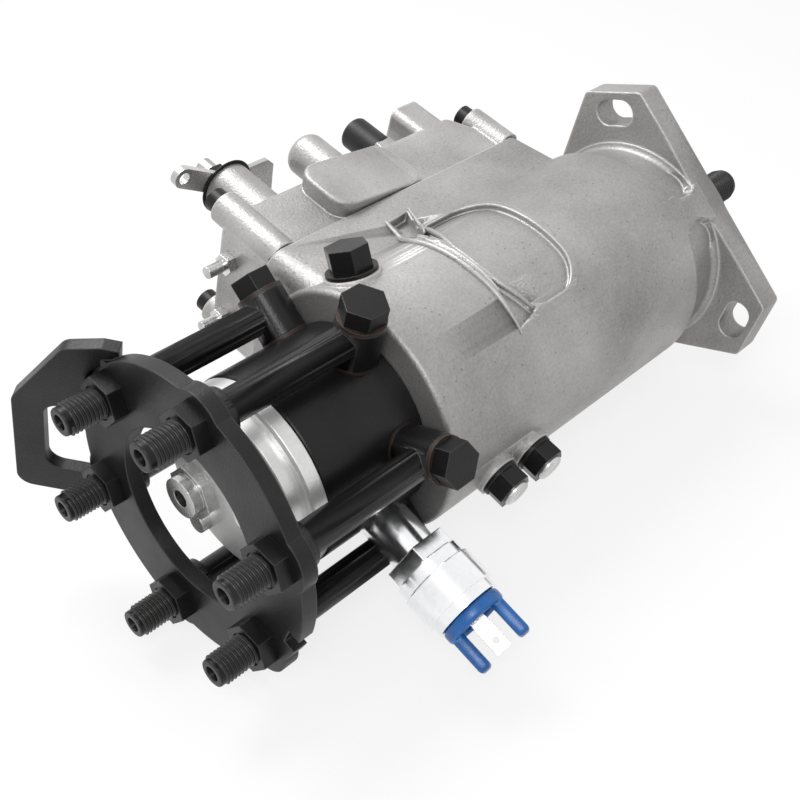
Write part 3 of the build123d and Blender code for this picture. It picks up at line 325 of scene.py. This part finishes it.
def cut(piece, cutter):
    """Takes one shape out of another, and clears the cutting shape away."""
    bpy.ops.object.select_all(action="DESELECT")
    piece.select_set(True)
    bpy.context.view_layer.objects.active = piece
    hollow = piece.modifiers.new("hollow", "BOOLEAN")
    hollow.operation = "DIFFERENCE"
    hollow.solver = "EXACT"
    hollow.object = cutter
    bpy.ops.object.modifier_apply(modifier="hollow")
    bpy.data.objects.remove(cutter)


def joined(pieces):
    bpy.ops.object.select_all(action="DESELECT")
    for piece in pieces:
        piece.select_set(True)
    bpy.context.view_layer.objects.active = pieces[0]
    bpy.ops.object.join()
    return pieces[0]


def prism(name, outline, start, thrust):
    """A flat outline of (x, z) points at one y, extruded along y into a solid."""
    bpy.ops.object.select_all(action="DESELECT")
    bpy.ops.mesh.primitive_circle_add(vertices=len(outline), fill_type="NGON")
    piece = bpy.context.object
    piece.name = name
    for vertex, (x, z) in zip(piece.data.vertices, outline):
        vertex.co = (x, start, z)
    bpy.ops.object.mode_set(mode="EDIT")
    bpy.ops.mesh.select_all(action="SELECT")
    bpy.ops.mesh.extrude_region_move(TRANSFORM_OT_translate={"value": (0, thrust, 0)})
    bpy.ops.mesh.select_all(action="SELECT")
    bpy.ops.mesh.normals_make_consistent(inside=False)
    bpy.ops.object.mode_set(mode="OBJECT")
    return piece


def round_bar(name, radius, low_x, high_x):
    """A round bar along the shaft."""
    bpy.ops.object.select_all(action="DESELECT")
    bpy.ops.mesh.primitive_cylinder_add(vertices=128, radius=radius, depth=high_x - low_x,
                                        location=((low_x + high_x) / 2, 0, 0),
                                        rotation=(0, math.pi / 2, 0))
    bar = bpy.context.object
    bar.name = name
    bpy.ops.object.transform_apply(location=True, rotation=True, scale=True)
    return bar


def side_of_casting(z):
    """The y of the casting's near side at a height: the drum, or the flank above it."""
    (foot_y, foot_z), (top_y, top_z) = SIDE_FOOT, SIDE_TOP
    flank = foot_y - (foot_y - top_y) * (z - foot_z) / (top_z - foot_z)
    if z >= DRUM_R:
        return -flank
    drum = math.sqrt(DRUM_R ** 2 - z ** 2)
    return -max(drum, flank) if z > foot_z else -drum


def ridge(name, corners):
    """A rounded ridge laid over the casting along a line of (x, z) corners."""
    path = bpy.data.curves.new(name, "CURVE")
    path.dimensions = "3D"
    path.bevel_depth = RIDGE_R
    path.bevel_resolution = 4
    path.use_fill_caps = True
    spline = path.splines.new("NURBS")
    spline.points.add(RIDGE_STEPS)
    for step, point in enumerate(spline.points):
        share = step / RIDGE_STEPS * (len(corners) - 1)
        first = min(int(share), len(corners) - 2)
        (x0, z0), (x1, z1) = corners[first], corners[first + 1]
        x = x0 + (x1 - x0) * (share - first)
        z = z0 + (z1 - z0) * (share - first)
        point.co = (x, side_of_casting(z) - RIDGE_LIFT, z, 1)
        point.radius = min(1, 0.35 + 4 * min(step, RIDGE_STEPS - step) / RIDGE_STEPS)
    spline.order_u = 4
    spline.use_endpoint_u = True
    strip = bpy.data.objects.new(name, path)
    bpy.context.scene.collection.objects.link(strip)
    bpy.ops.object.select_all(action="DESELECT")
    strip.select_set(True)
    bpy.context.view_layer.objects.active = strip
    bpy.ops.object.convert(target="MESH")
    return bpy.context.object


casting = merged_copy("pump_housing", "sand_cast_housing")
scoops = []
for web in WEBS:
    for side in (1, -1):
        bpy.ops.object.select_all(action="DESELECT")
        bpy.ops.mesh.primitive_cylinder_add(
            vertices=48, radius=SCOOP_R, depth=SCOOP_LONG,
            location=(NECK_MIDDLE, side * (WEB_WAIST / 2 + SCOOP_R), DRUM_R - SCOOP_SINK))
        scoops.append(bpy.context.object)
        bpy.ops.object.transform_apply(location=True, rotation=True, scale=True)
        scoops[-1].data.transform(Matrix.Rotation(math.radians(web), 4, "X"))
scoop = joined(scoops)
cut(scoop, round_bar("neck", NECK_R, *NECK_ENDS))
scoop.data.transform(lying)
cut(casting, scoop)
lower = prism("lower_hollow", LOWER_HOLLOW, HOLLOW_START, LOWER_THRUST)
cut(lower, round_bar("drum_floor", DRUM_R - HOLLOW_DEPTH, *HOLLOW_FLOOR_ENDS))
lower.data.transform(lying)
cut(casting, lower)
upper = prism("upper_hollow", UPPER_HOLLOW, HOLLOW_START, UPPER_THRUST)
for vertex in upper.data.vertices:
    if vertex.co.y > HOLLOW_START + UPPER_THRUST / 2:
        deeper = APEX_DEPTH if vertex.co.z < SIDE_FOOT[1] else FORK_DEPTH
        vertex.co.y = side_of_casting(vertex.co.z) + deeper
upper.data.transform(lying)
cut(casting, upper)
bpy.ops.object.select_all(action="DESELECT")
casting.select_set(True)
bpy.context.view_layer.objects.active = casting
bpy.ops.object.shade_smooth_by_angle(angle=math.radians(24))
even = casting.modifiers.new("even", "WEIGHTED_NORMAL")
even.keep_sharp = True
even.mode = "FACE_AREA_WITH_ANGLE"
even.weight = 50
bpy.ops.object.modifier_apply(modifier="even")
casting.data.materials.append(cast_alloy)
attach(casting, "housing")
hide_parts("pump_housing")
ridges = joined([ridge("casting_ridges", NEAR_RIDGE), ridge("far_ridge", FAR_RIDGE)])
ridges.data.transform(lying)
bpy.ops.object.shade_smooth_by_angle(angle=math.radians(40))
ridges.data.materials.append(cast_alloy)
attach(ridges, "housing")

# ------------------------------------------------------------------ governor cover
# A smaller casting of the same alloy, screwed down on a fibre gasket with four black
# socket screws. Two zinc-plated stop screws pass through its outlet end.
cover_alloy = finish("cover_cast_alloy", (0.27, 0.262, 0.257), (0.5, 0.49, 0.485),
                     (0.66, 0.65, 0.64), metallic=0.55, rough=0.43, radius=0.0016,
                     grain_size=1000, grain_depth=0.0002, cloud_size=26, pitting=0.4)
wear(cover_alloy, "governor_cover")
PAD_FRONT = -0.1475
PAD_REAR = -0.100
PAD_LOW = 0.0588
PAD_TOP = 0.0867
PAD_SEAT = -0.031
PAD_FACE = -0.039
PAD_REAR_FACE = -0.0335
PAD_CORNER = 0.008
PAD_STEPS = 6
PAD_ROUND = 0.0012
PAD_MARGIN = 0.001
pad_outline = [(PAD_REAR, PAD_LOW), (PAD_REAR, PAD_TOP)]
for corner_z, start in ((PAD_TOP - PAD_CORNER, 90), (PAD_LOW + PAD_CORNER, 180)):
    for step in range(PAD_STEPS + 1):
        turn = math.radians(start + 90 * step / PAD_STEPS)
        pad_outline.append((PAD_FRONT + PAD_CORNER * (1 + math.cos(turn)),
                            corner_z + PAD_CORNER * math.sin(turn)))
pad = prism("cover_pad", pad_outline, PAD_SEAT, PAD_FACE - PAD_SEAT)
for vertex in pad.data.vertices:
    if vertex.co.y < PAD_SEAT - PAD_MARGIN and vertex.co.x > PAD_REAR - PAD_MARGIN:
        vertex.co.y = PAD_REAR_FACE
pad_edges = pad.modifiers.new("edges", "BEVEL")
pad_edges.width = PAD_ROUND
pad_edges.segments = 3
pad_edges.limit_method = "ANGLE"
bpy.ops.object.modifier_apply(modifier="edges")
bpy.ops.object.shade_smooth_by_angle(angle=math.radians(35))
pad.data.transform(lying)
pad.data.materials.append(cover_alloy)
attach(pad, "housing")
fibre_sheet = finish("fibre_sheet", (0.04, 0.04, 0.036), (0.09, 0.09, 0.08), (0.1, 0.1, 0.09),
                     metallic=0.0, rough=0.8, radius=0.0002, grain_size=1500,
                     grain_depth=0.0001)
wear(fibre_sheet, "cover_gasket")
oiled_black = finish("oiled_black_screw", (0.003, 0.003, 0.0033), (0.01, 0.01, 0.0105),
                     (0.04, 0.04, 0.04), metallic=0.0, rough=0.38, radius=0.0004,
                     grain_size=1500, grain_depth=0.00004, gloss=0.28)
wear(oiled_black, "cover_screws")
plated_steel = finish("plated_steel", (0.4, 0.4, 0.395), (0.7, 0.7, 0.69), (0.8, 0.8, 0.79),
                      metallic=1.0, rough=0.3, radius=0.0004, grain_size=900,
                      grain_depth=0.00003, cloud_size=80)
wear(plated_steel, "stop_screws", "return_union")

# ------------------------------------------------------------------ dust cap
# The fuel return union is closed for transport by a push-on cap of black polythene,
# slightly waxy, with a soft bloom where it has been handled.
cap_plastic = finish("black_polythene", (0.004, 0.004, 0.004), (0.014, 0.014, 0.014),
                     (0.03, 0.03, 0.03), metallic=0.0, rough=0.45, radius=0.001, grain_size=500,
                     grain_depth=0.00006, cloud_size=60, gloss=0.35)
wear(cap_plastic, "dust_cap")

# ------------------------------------------------------------------ throttle lever
# A pressed and plated lever held on its shaft by a black nut. A thin black seal washer
# lies on the cover's boss under it and turns grey with dust.
wear(plated_steel, "throttle_lever", "throttle_shaft")
wear(oiled_black, "throttle_nut")
THROTTLE_PLACE = (-0.160, -0.018)
ARM_LOW = 0.1127
ARM_THICK = 0.0024
ARM_ROUND = 0.0005
ARM_OUTLINE = ((-0.005, -0.0042), (0.0225, -0.0042), (0.0265, -0.0005), (0.0275, 0.016),
               (0.0205, 0.016), (0.0195, 0.0052), (0.018, 0.0042), (-0.005, 0.0042))
arm = prism("throttle_elbow", [(THROTTLE_PLACE[0] + x, -THROTTLE_PLACE[1] - y)
                               for x, y in ARM_OUTLINE], ARM_LOW, ARM_THICK)
arm.data.transform(Matrix.Rotation(math.radians(90), 4, "X"))
arm_edges = arm.modifiers.new("edges", "BEVEL")
arm_edges.width = ARM_ROUND
arm_edges.segments = 2
arm_edges.limit_method = "ANGLE"
bpy.ops.object.modifier_apply(modifier="edges")
arm.data.transform(lying)
arm.data.materials.append(plated_steel)
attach(arm, "throttle")
SEAL_OUTER = 0.0125
SEAL_INNER = 0.0045
SEAL_THICK = 0.00045
SEAL_GAP = 0.00005


def select_faces(piece, wanted):
    """Selects in edit mode the faces that a test accepts."""
    bpy.ops.object.mode_set(mode="EDIT")
    bpy.ops.mesh.select_mode(type="FACE")
    bpy.ops.mesh.select_all(action="DESELECT")
    bpy.ops.object.mode_set(mode="OBJECT")
    for face in piece.data.polygons:
        face.select = wanted(face)
    bpy.ops.object.mode_set(mode="EDIT")


throttle_joint = next(joint for joint in frame["record"]["behaviour"]["joints"]
                      if joint["name"] == "throttle_turn")
throttle_axis = Vector(throttle_joint["axis"]).normalized()
seal_top = Vector(throttle_joint["pos_m"]) - SEAL_GAP * throttle_axis
bpy.ops.object.select_all(action="DESELECT")
bpy.ops.mesh.primitive_cylinder_add(vertices=64, radius=SEAL_OUTER, depth=SEAL_THICK,
                                    end_fill_type="NGON")
seal = bpy.context.object
seal.name = "throttle_seal"
select_faces(seal, lambda face: abs(face.normal.z) > 0.9)
bpy.ops.mesh.inset(thickness=SEAL_OUTER - SEAL_INNER)
bpy.ops.mesh.bridge_edge_loops()
bpy.ops.mesh.select_all(action="SELECT")
bpy.ops.mesh.normals_make_consistent(inside=False)
bpy.ops.object.mode_set(mode="OBJECT")
rim = seal.modifiers.new("rim", "BEVEL")
rim.width = SEAL_THICK / 4
rim.segments = 2
rim.limit_method = "ANGLE"
bpy.ops.object.modifier_apply(modifier="rim")
seat = Matrix.Translation(seal_top - throttle_axis * SEAL_THICK / 2)
seal.data.transform(seat @ throttle_axis.to_track_quat("Z", "Y").to_matrix().to_4x4())
seal.data.materials.append(oiled_black)
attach(seal, "housing")

# ------------------------------------------------------------------ hydraulic head
# The head is a steel barrel, phosphated black and oiled, so it is satin black, with a painted
# highlight of thin grey along its edges. It is held by two flanged bolts and sealed by two
# hexagon plugs.
black_steel = finish("blackened_steel", (0.002, 0.002, 0.0022), (0.009, 0.009, 0.0092),
                     (0.05, 0.049, 0.047), metallic=0.0, rough=0.34, radius=0.0006,
                     grain_size=1300, grain_depth=0.00007, cloud_size=45, gloss=0.28)
wear(black_steel, "hydraulic_head", "head_bolts", "bolt_washers", "side_plugs")
PLUG_ENDS = (-0.143, -0.163)
PLUG_CLOCK = math.radians(184)
PLUG_END_R = 0.0056
PLUG_END_LOW = 0.0605
PLUG_END_H = 0.0028
for number, plug_x in enumerate(PLUG_ENDS, 1):
    bpy.ops.object.select_all(action="DESELECT")
    bpy.ops.mesh.primitive_cylinder_add(vertices=48, radius=PLUG_END_R, depth=PLUG_END_H,
                                        location=(0, 0, PLUG_END_LOW + PLUG_END_H / 2))
    plug_end = bpy.context.object
    plug_end.name = f"plug_end_{number}"
    bpy.ops.object.transform_apply(location=True, rotation=True, scale=True)
    dome = plug_end.modifiers.new("dome", "BEVEL")
    dome.width = PLUG_END_H / 2.5
    dome.segments = 4
    dome.limit_method = "ANGLE"
    bpy.ops.object.modifier_apply(modifier="dome")
    bpy.ops.object.shade_smooth_by_angle(angle=math.radians(30))
    plug_end.data.transform(lying @ Matrix.Translation((plug_x, 0, 0))
                            @ Matrix.Rotation(PLUG_CLOCK, 4, "X"))
    plug_end.data.materials.append(plated_steel)
    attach(plug_end, "housing")
dark_rubber = finish("dark_rubber", (0.01, 0.01, 0.01), (0.02, 0.02, 0.02),
                     (0.025, 0.025, 0.025), metallic=0.0, rough=0.55, radius=0.0003,
                     grain_size=900, grain_depth=0.00004)
wear(dark_rubber, "head_seal")

# ------------------------------------------------------------------ outlet pipes
# Six blackened steel outlets run from their banjo eyes through the ring plate. Each ends
# in a rolled M12 thread with a coned mouth, and its washers are copper, blackened too.
THREAD_PITCH = 0.0015
THREAD_RIDGE = 0.00078
THREAD_STEPS = 28
MOUTH_RIM = 0.0017
MOUTH_DEPTH = 0.006
MOUTH_BORE = 0.45


def threaded_stub(name, radius, length, pitch, mouth):
    """A threaded end built upright on z = 0, with a chamfered tip and, if open, a cone."""
    bpy.ops.object.select_all(action="DESELECT")
    core_radius = radius - THREAD_RIDGE
    bpy.ops.mesh.primitive_cylinder_add(vertices=48, radius=core_radius, depth=length,
                                        location=(0, 0, length / 2), end_fill_type="NGON")
    core = bpy.context.object
    core.name = name
    bpy.ops.object.transform_apply(location=True, rotation=True, scale=True)
    select_faces(core, lambda face: face.normal.z > 0.9)
    bpy.ops.mesh.bevel(offset=pitch / 3, segments=2, affect="EDGES")
    bpy.ops.object.mode_set(mode="OBJECT")
    if mouth:
        select_faces(core, lambda face: face.normal.z > 0.9 and len(face.vertices) > 8)
        bpy.ops.mesh.inset(thickness=MOUTH_RIM)
        bpy.ops.mesh.extrude_region_move(TRANSFORM_OT_translate={"value": (0, 0, -MOUTH_DEPTH)})
        bpy.ops.transform.resize(value=(MOUTH_BORE, MOUTH_BORE, 1))
        bpy.ops.mesh.extrude_region_move(TRANSFORM_OT_translate={"value": (0, 0, -MOUTH_DEPTH)})
        bpy.ops.object.mode_set(mode="OBJECT")
    bpy.ops.object.select_all(action="DESELECT")
    ridge_size = pitch / 1.85
    bpy.ops.mesh.primitive_circle_add(vertices=3, radius=ridge_size, fill_type="NOTHING",
                                      location=(radius - ridge_size, 0, 0),
                                      rotation=(math.pi / 2, math.pi / 2, 0))
    ridge = bpy.context.object
    bpy.ops.object.transform_apply(location=True, rotation=True, scale=True)
    turns = ridge.modifiers.new("turns", "SCREW")
    turns.axis = "Z"
    turns.screw_offset = pitch
    turns.iterations = int(length / pitch) - 1
    turns.steps = THREAD_STEPS
    turns.render_steps = THREAD_STEPS
    turns.use_normal_calculate = True
    bpy.ops.object.modifier_apply(modifier="turns")
    bpy.ops.object.mode_set(mode="EDIT")
    bpy.ops.mesh.select_all(action="SELECT")
    bpy.ops.mesh.fill_holes(sides=0)
    bpy.ops.mesh.select_all(action="SELECT")
    bpy.ops.mesh.normals_make_consistent(inside=False)
    bpy.ops.object.mode_set(mode="OBJECT")
    core.select_set(True)
    bpy.context.view_layer.objects.active = core
    bpy.ops.object.join()
    return core


def with_thread(node, name, start, outward, radius, length, pitch, mouth, cut_in):
    """A copy of a node whose plain end, past a point, gives way to a threaded one."""
    copy = merged_copy(node, name)
    bpy.ops.object.mode_set(mode="EDIT")
    bpy.ops.mesh.select_all(action="SELECT")
    bpy.ops.mesh.bisect(plane_co=start + cut_in * outward, plane_no=outward, use_fill=True,
                        clear_outer=True)
    bpy.ops.object.mode_set(mode="OBJECT")
    stub = threaded_stub(name + "_stub", radius, length, pitch, mouth)
    aim = outward.to_track_quat("Z", "Y").to_matrix().to_4x4()
    stub.data.transform(Matrix.Translation(start) @ aim)
    bpy.ops.object.select_all(action="DESELECT")
    stub.select_set(True)
    copy.select_set(True)
    bpy.context.view_layer.objects.active = copy
    bpy.ops.object.join()
    bpy.ops.object.shade_smooth_by_angle(angle=math.radians(28))
    copy.data.materials.clear()
    return copy


first_mount = mounts["outlet_1"]
stub_radius = first_mount["dims"]["r_mm"] / 1000
stub_length = first_mount["dims"]["length_mm"] / 1000
HIDDEN_IN_NUT = 0.001
first_place = Vector(first_mount["pos_m"])
first_axis = Vector(first_mount["axis"])
stub_start = first_place - (stub_length / 2 + HIDDEN_IN_NUT) * first_axis
first_clock = math.atan2(first_place.z, first_place.y)
first_pipe = with_thread("outlet_pipe_1", "outlet_tube_1", stub_start, first_axis, stub_radius,
                         stub_length + 2 * HIDDEN_IN_NUT, THREAD_PITCH, True, HIDDEN_IN_NUT / 2)
for number in range(1, 7):
    pipe = first_pipe
    if number > 1:
        place = Vector(mounts[f"outlet_{number}"]["pos_m"])
        pipe = bpy.data.objects.new(f"outlet_tube_{number}", first_pipe.data.copy())
        bpy.context.scene.collection.objects.link(pipe)
        turn = math.atan2(place.z, place.y) - first_clock
        pipe.data.transform(Matrix.Rotation(turn, 4, "X"))
    pipe.data.materials.clear()
    pipe.data.materials.append(black_steel)
    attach(pipe, "housing")
    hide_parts(f"outlet_pipe_{number}")
wear(black_steel, "banjo_bolts")
dull_copper = finish("blackened_copper", (0.016, 0.012, 0.01), (0.05, 0.034, 0.026),
                     (0.09, 0.06, 0.045), metallic=0.3, rough=0.5, radius=0.0002,
                     grain_size=900, grain_depth=0.00004)
wear(dull_copper, "banjo_washers")

# ------------------------------------------------------------------ ring plate
# The ring plate is flame-cut plate, blackened with the pipes and rubbed greyer on its
# flat faces than the nuts are, with a cranked lug welded at its top.
plate_steel = finish("blackened_plate", (0.003, 0.003, 0.0032), (0.013, 0.0128, 0.0128),
                     (0.055, 0.054, 0.052), metallic=0.0, rough=0.4, radius=0.0009,
                     grain_size=1000, grain_depth=0.00009, cloud_size=38, gloss=0.3)
wear(plate_steel, "pipe_clamp_plate")
wear(black_steel, "pipe_locknuts")

# ------------------------------------------------------------------ end plate
# The transfer pump's end plate is machined alloy, left bright. The inlet union and the
# regulating valve screw into it and are bright plated steel.
machined_alloy = finish("machined_alloy", (0.68, 0.68, 0.67), (0.88, 0.88, 0.87),
                        (0.88, 0.88, 0.87), metallic=0.7, rough=0.36, radius=0.0006,
                        grain_size=700, grain_depth=0.00006, cloud_size=60)
wear(machined_alloy, "end_plate")
wear(plated_steel, "end_plate_screws", "inlet_union", "regulating_valve_body")

# ------------------------------------------------------------------ stop solenoid
# The solenoid's case is a bright zinc-plated tube with rolled bands. Its terminal guard
# is moulded blue nylon, and the blade between the two arms is tinned brass.
bright_zinc = finish("bright_zinc", (0.82, 0.83, 0.85), (0.97, 0.97, 0.975), (0.98, 0.98, 0.98),
                     metallic=1.0, rough=0.17, radius=0.0006, grain_size=500,
                     grain_depth=0.00001, cloud_size=50)
wear(bright_zinc, "solenoid_body")
blue_nylon = finish("blue_nylon", (0.003, 0.07, 0.26), (0.008, 0.125, 0.4), (0.03, 0.24, 0.6),
                    metallic=0.0, rough=0.32, radius=0.0012, grain_size=600,
                    grain_depth=0.00004, cloud_size=90)
SOLENOID_END = 0.084
GUARD_TURN = math.radians(122)
GUARD_BASE_R = 0.0122
GUARD_BASE_H = 0.005
GUARD_RING_W = 0.0033
GUARD_POCKET = 0.6 * GUARD_BASE_H
GUARD_ARM = (0.0100, 0.0048, 0.0171)
GUARD_ARM_PLACE = 0.0090
GUARD_ARM_LOW = 0.0018
GUARD_ROUND = 0.0018
terminal = mounts["stop_terminal"]
guard_axis = Vector(terminal["axis"])
guard_seat = Vector((terminal["pos_m"][0], 0, 0)) + SOLENOID_END * guard_axis
across = guard_axis.cross(Vector((1, 0, 0)))
guard_frame = (Matrix.Translation(guard_seat)
               @ Matrix((Vector((1, 0, 0)), across, guard_axis)).transposed().to_4x4()
               @ Matrix.Rotation(GUARD_TURN, 4, "Z"))
bpy.ops.object.select_all(action="DESELECT")
bpy.ops.mesh.primitive_cylinder_add(vertices=64, radius=GUARD_BASE_R, depth=GUARD_BASE_H,
                                    location=(0, 0, GUARD_BASE_H / 2), end_fill_type="NGON")
guard_base = bpy.context.object
guard_base.name = "terminal_guard"
bpy.ops.object.transform_apply(location=True, rotation=True, scale=True)
select_faces(guard_base, lambda face: face.normal.z > 0.9)
bpy.ops.mesh.inset(thickness=GUARD_RING_W)
bpy.ops.mesh.extrude_region_move(TRANSFORM_OT_translate={"value": (0, 0, -GUARD_POCKET)})
bpy.ops.object.mode_set(mode="OBJECT")
guard = [guard_base]
for side in (1, -1):
    bpy.ops.object.select_all(action="DESELECT")
    bpy.ops.mesh.primitive_cube_add(size=1, location=(
        0, side * GUARD_ARM_PLACE, GUARD_ARM_LOW + GUARD_ARM[2] / 2))
    guard.append(bpy.context.object)
    guard[-1].scale = GUARD_ARM
    bpy.ops.object.transform_apply(location=True, rotation=True, scale=True)
guard = joined(guard)
soft = guard.modifiers.new("soft", "BEVEL")
soft.width = GUARD_ROUND
soft.segments = 4
soft.limit_method = "ANGLE"
bpy.ops.object.modifier_apply(modifier="soft")
bpy.ops.object.shade_smooth_by_angle(angle=math.radians(40))
guard.data.transform(guard_frame)
guard.data.materials.append(blue_nylon)
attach(guard, "housing")
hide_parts("solenoid_clip")
tinned_brass = finish("tinned_brass", (0.62, 0.62, 0.6), (0.85, 0.85, 0.83), (0.9, 0.9, 0.88),
                      metallic=1.0, rough=0.28, radius=0.0003, grain_size=1200,
                      grain_depth=0.00002, cloud_size=120)
BLADE = (0.0008, 0.0063, 0.0165)
BLADE_LOW = 0.0015
BLADE_ROUND = 0.00015
BLADE_HOLE_R = 0.0011
BLADE_HOLE_UP = 0.0135
BLADE_HOLE_LONG = 0.004
bpy.ops.object.select_all(action="DESELECT")
bpy.ops.mesh.primitive_cube_add(size=1, location=(0, 0, BLADE_LOW + BLADE[2] / 2))
blade = bpy.context.object
blade.name = "terminal_blade"
blade.scale = BLADE
bpy.ops.object.transform_apply(location=True, rotation=True, scale=True)
bpy.ops.object.select_all(action="DESELECT")
bpy.ops.mesh.primitive_cylinder_add(vertices=32, radius=BLADE_HOLE_R, depth=BLADE_HOLE_LONG,
                                    location=(0, 0, BLADE_HOLE_UP),
                                    rotation=(0, math.pi / 2, 0))
bpy.ops.object.transform_apply(location=True, rotation=True, scale=True)
cut(blade, bpy.context.object)
tip = blade.modifiers.new("tip", "BEVEL")
tip.width = BLADE_ROUND
tip.segments = 2
tip.limit_method = "ANGLE"
bpy.ops.object.modifier_apply(modifier="tip")
blade.data.transform(guard_frame)
blade.data.materials.append(tinned_brass)
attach(blade, "housing")
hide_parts("spade_terminal")

# ------------------------------------------------------------------ drive shaft
# The shaft is ground steel in its bush, blackened outside the casting. Its end has a
# taper with a key for the drive gear, and a thread for the nut that holds it.
shaft_black = finish("blackened_shaft", (0.004, 0.004, 0.0042), (0.018, 0.0175, 0.0175),
                     (0.06, 0.06, 0.058), metallic=0.2, rough=0.32, radius=0.0006,
                     grain_size=1100, grain_depth=0.00004, cloud_size=70, gloss=0.35)
THREAD_BEYOND = 0.001
shaft_mount = mounts["shaft_thread"]
shaft_length = shaft_mount["dims"]["length_mm"] / 1000
shaft_axis = Vector(shaft_mount["axis"])
shaft_start = Vector(shaft_mount["pos_m"]) - shaft_length / 2 * shaft_axis
shaft = with_thread("drive_shaft", "threaded_drive_shaft", shaft_start, shaft_axis,
                    shaft_mount["dims"]["r_mm"] / 1000, shaft_length + THREAD_BEYOND,
                    THREAD_PITCH, False, 0)
shaft.data.materials.append(shaft_black)
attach(shaft, "drive_line")
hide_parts("drive_shaft")
ground_steel = finish("ground_steel", (0.3, 0.3, 0.31), (0.5, 0.5, 0.51), (0.6, 0.6, 0.61),
                      metallic=1.0, rough=0.25, radius=0.0003, grain_size=1400,
                      grain_depth=0.00002)
wear(ground_steel, "shaft_key")
wear(dark_rubber, "shaft_seal")
plain_bronze = finish("plain_bronze", (0.35, 0.22, 0.08), (0.5, 0.34, 0.15), (0.6, 0.42, 0.2),
                      metallic=0.9, rough=0.4, radius=0.0003, grain_size=900,
                      grain_depth=0.00004)
wear(plain_bronze, "drive_bush")

# ------------------------------------------------------------------ inner works
# Everything that turns or slides inside is hardened and ground steel, grey and smooth,
# and is hidden by the casting and the head.
wear(ground_steel, "cam_ring", "pump_liner", "rotor", "transfer_rotor", "weight_carrier",
     "thrust_sleeve", "governor_arm", "governor_link", "metering_valve",
     "regulating_piston", "solenoid_plunger",
     *[f"{name}_{i}" for name in ("plunger", "cam_shoe", "cam_roller", "vane") for i in (1, 2)],
     *[f"governor_weight_{i}" for i in range(1, 5)])
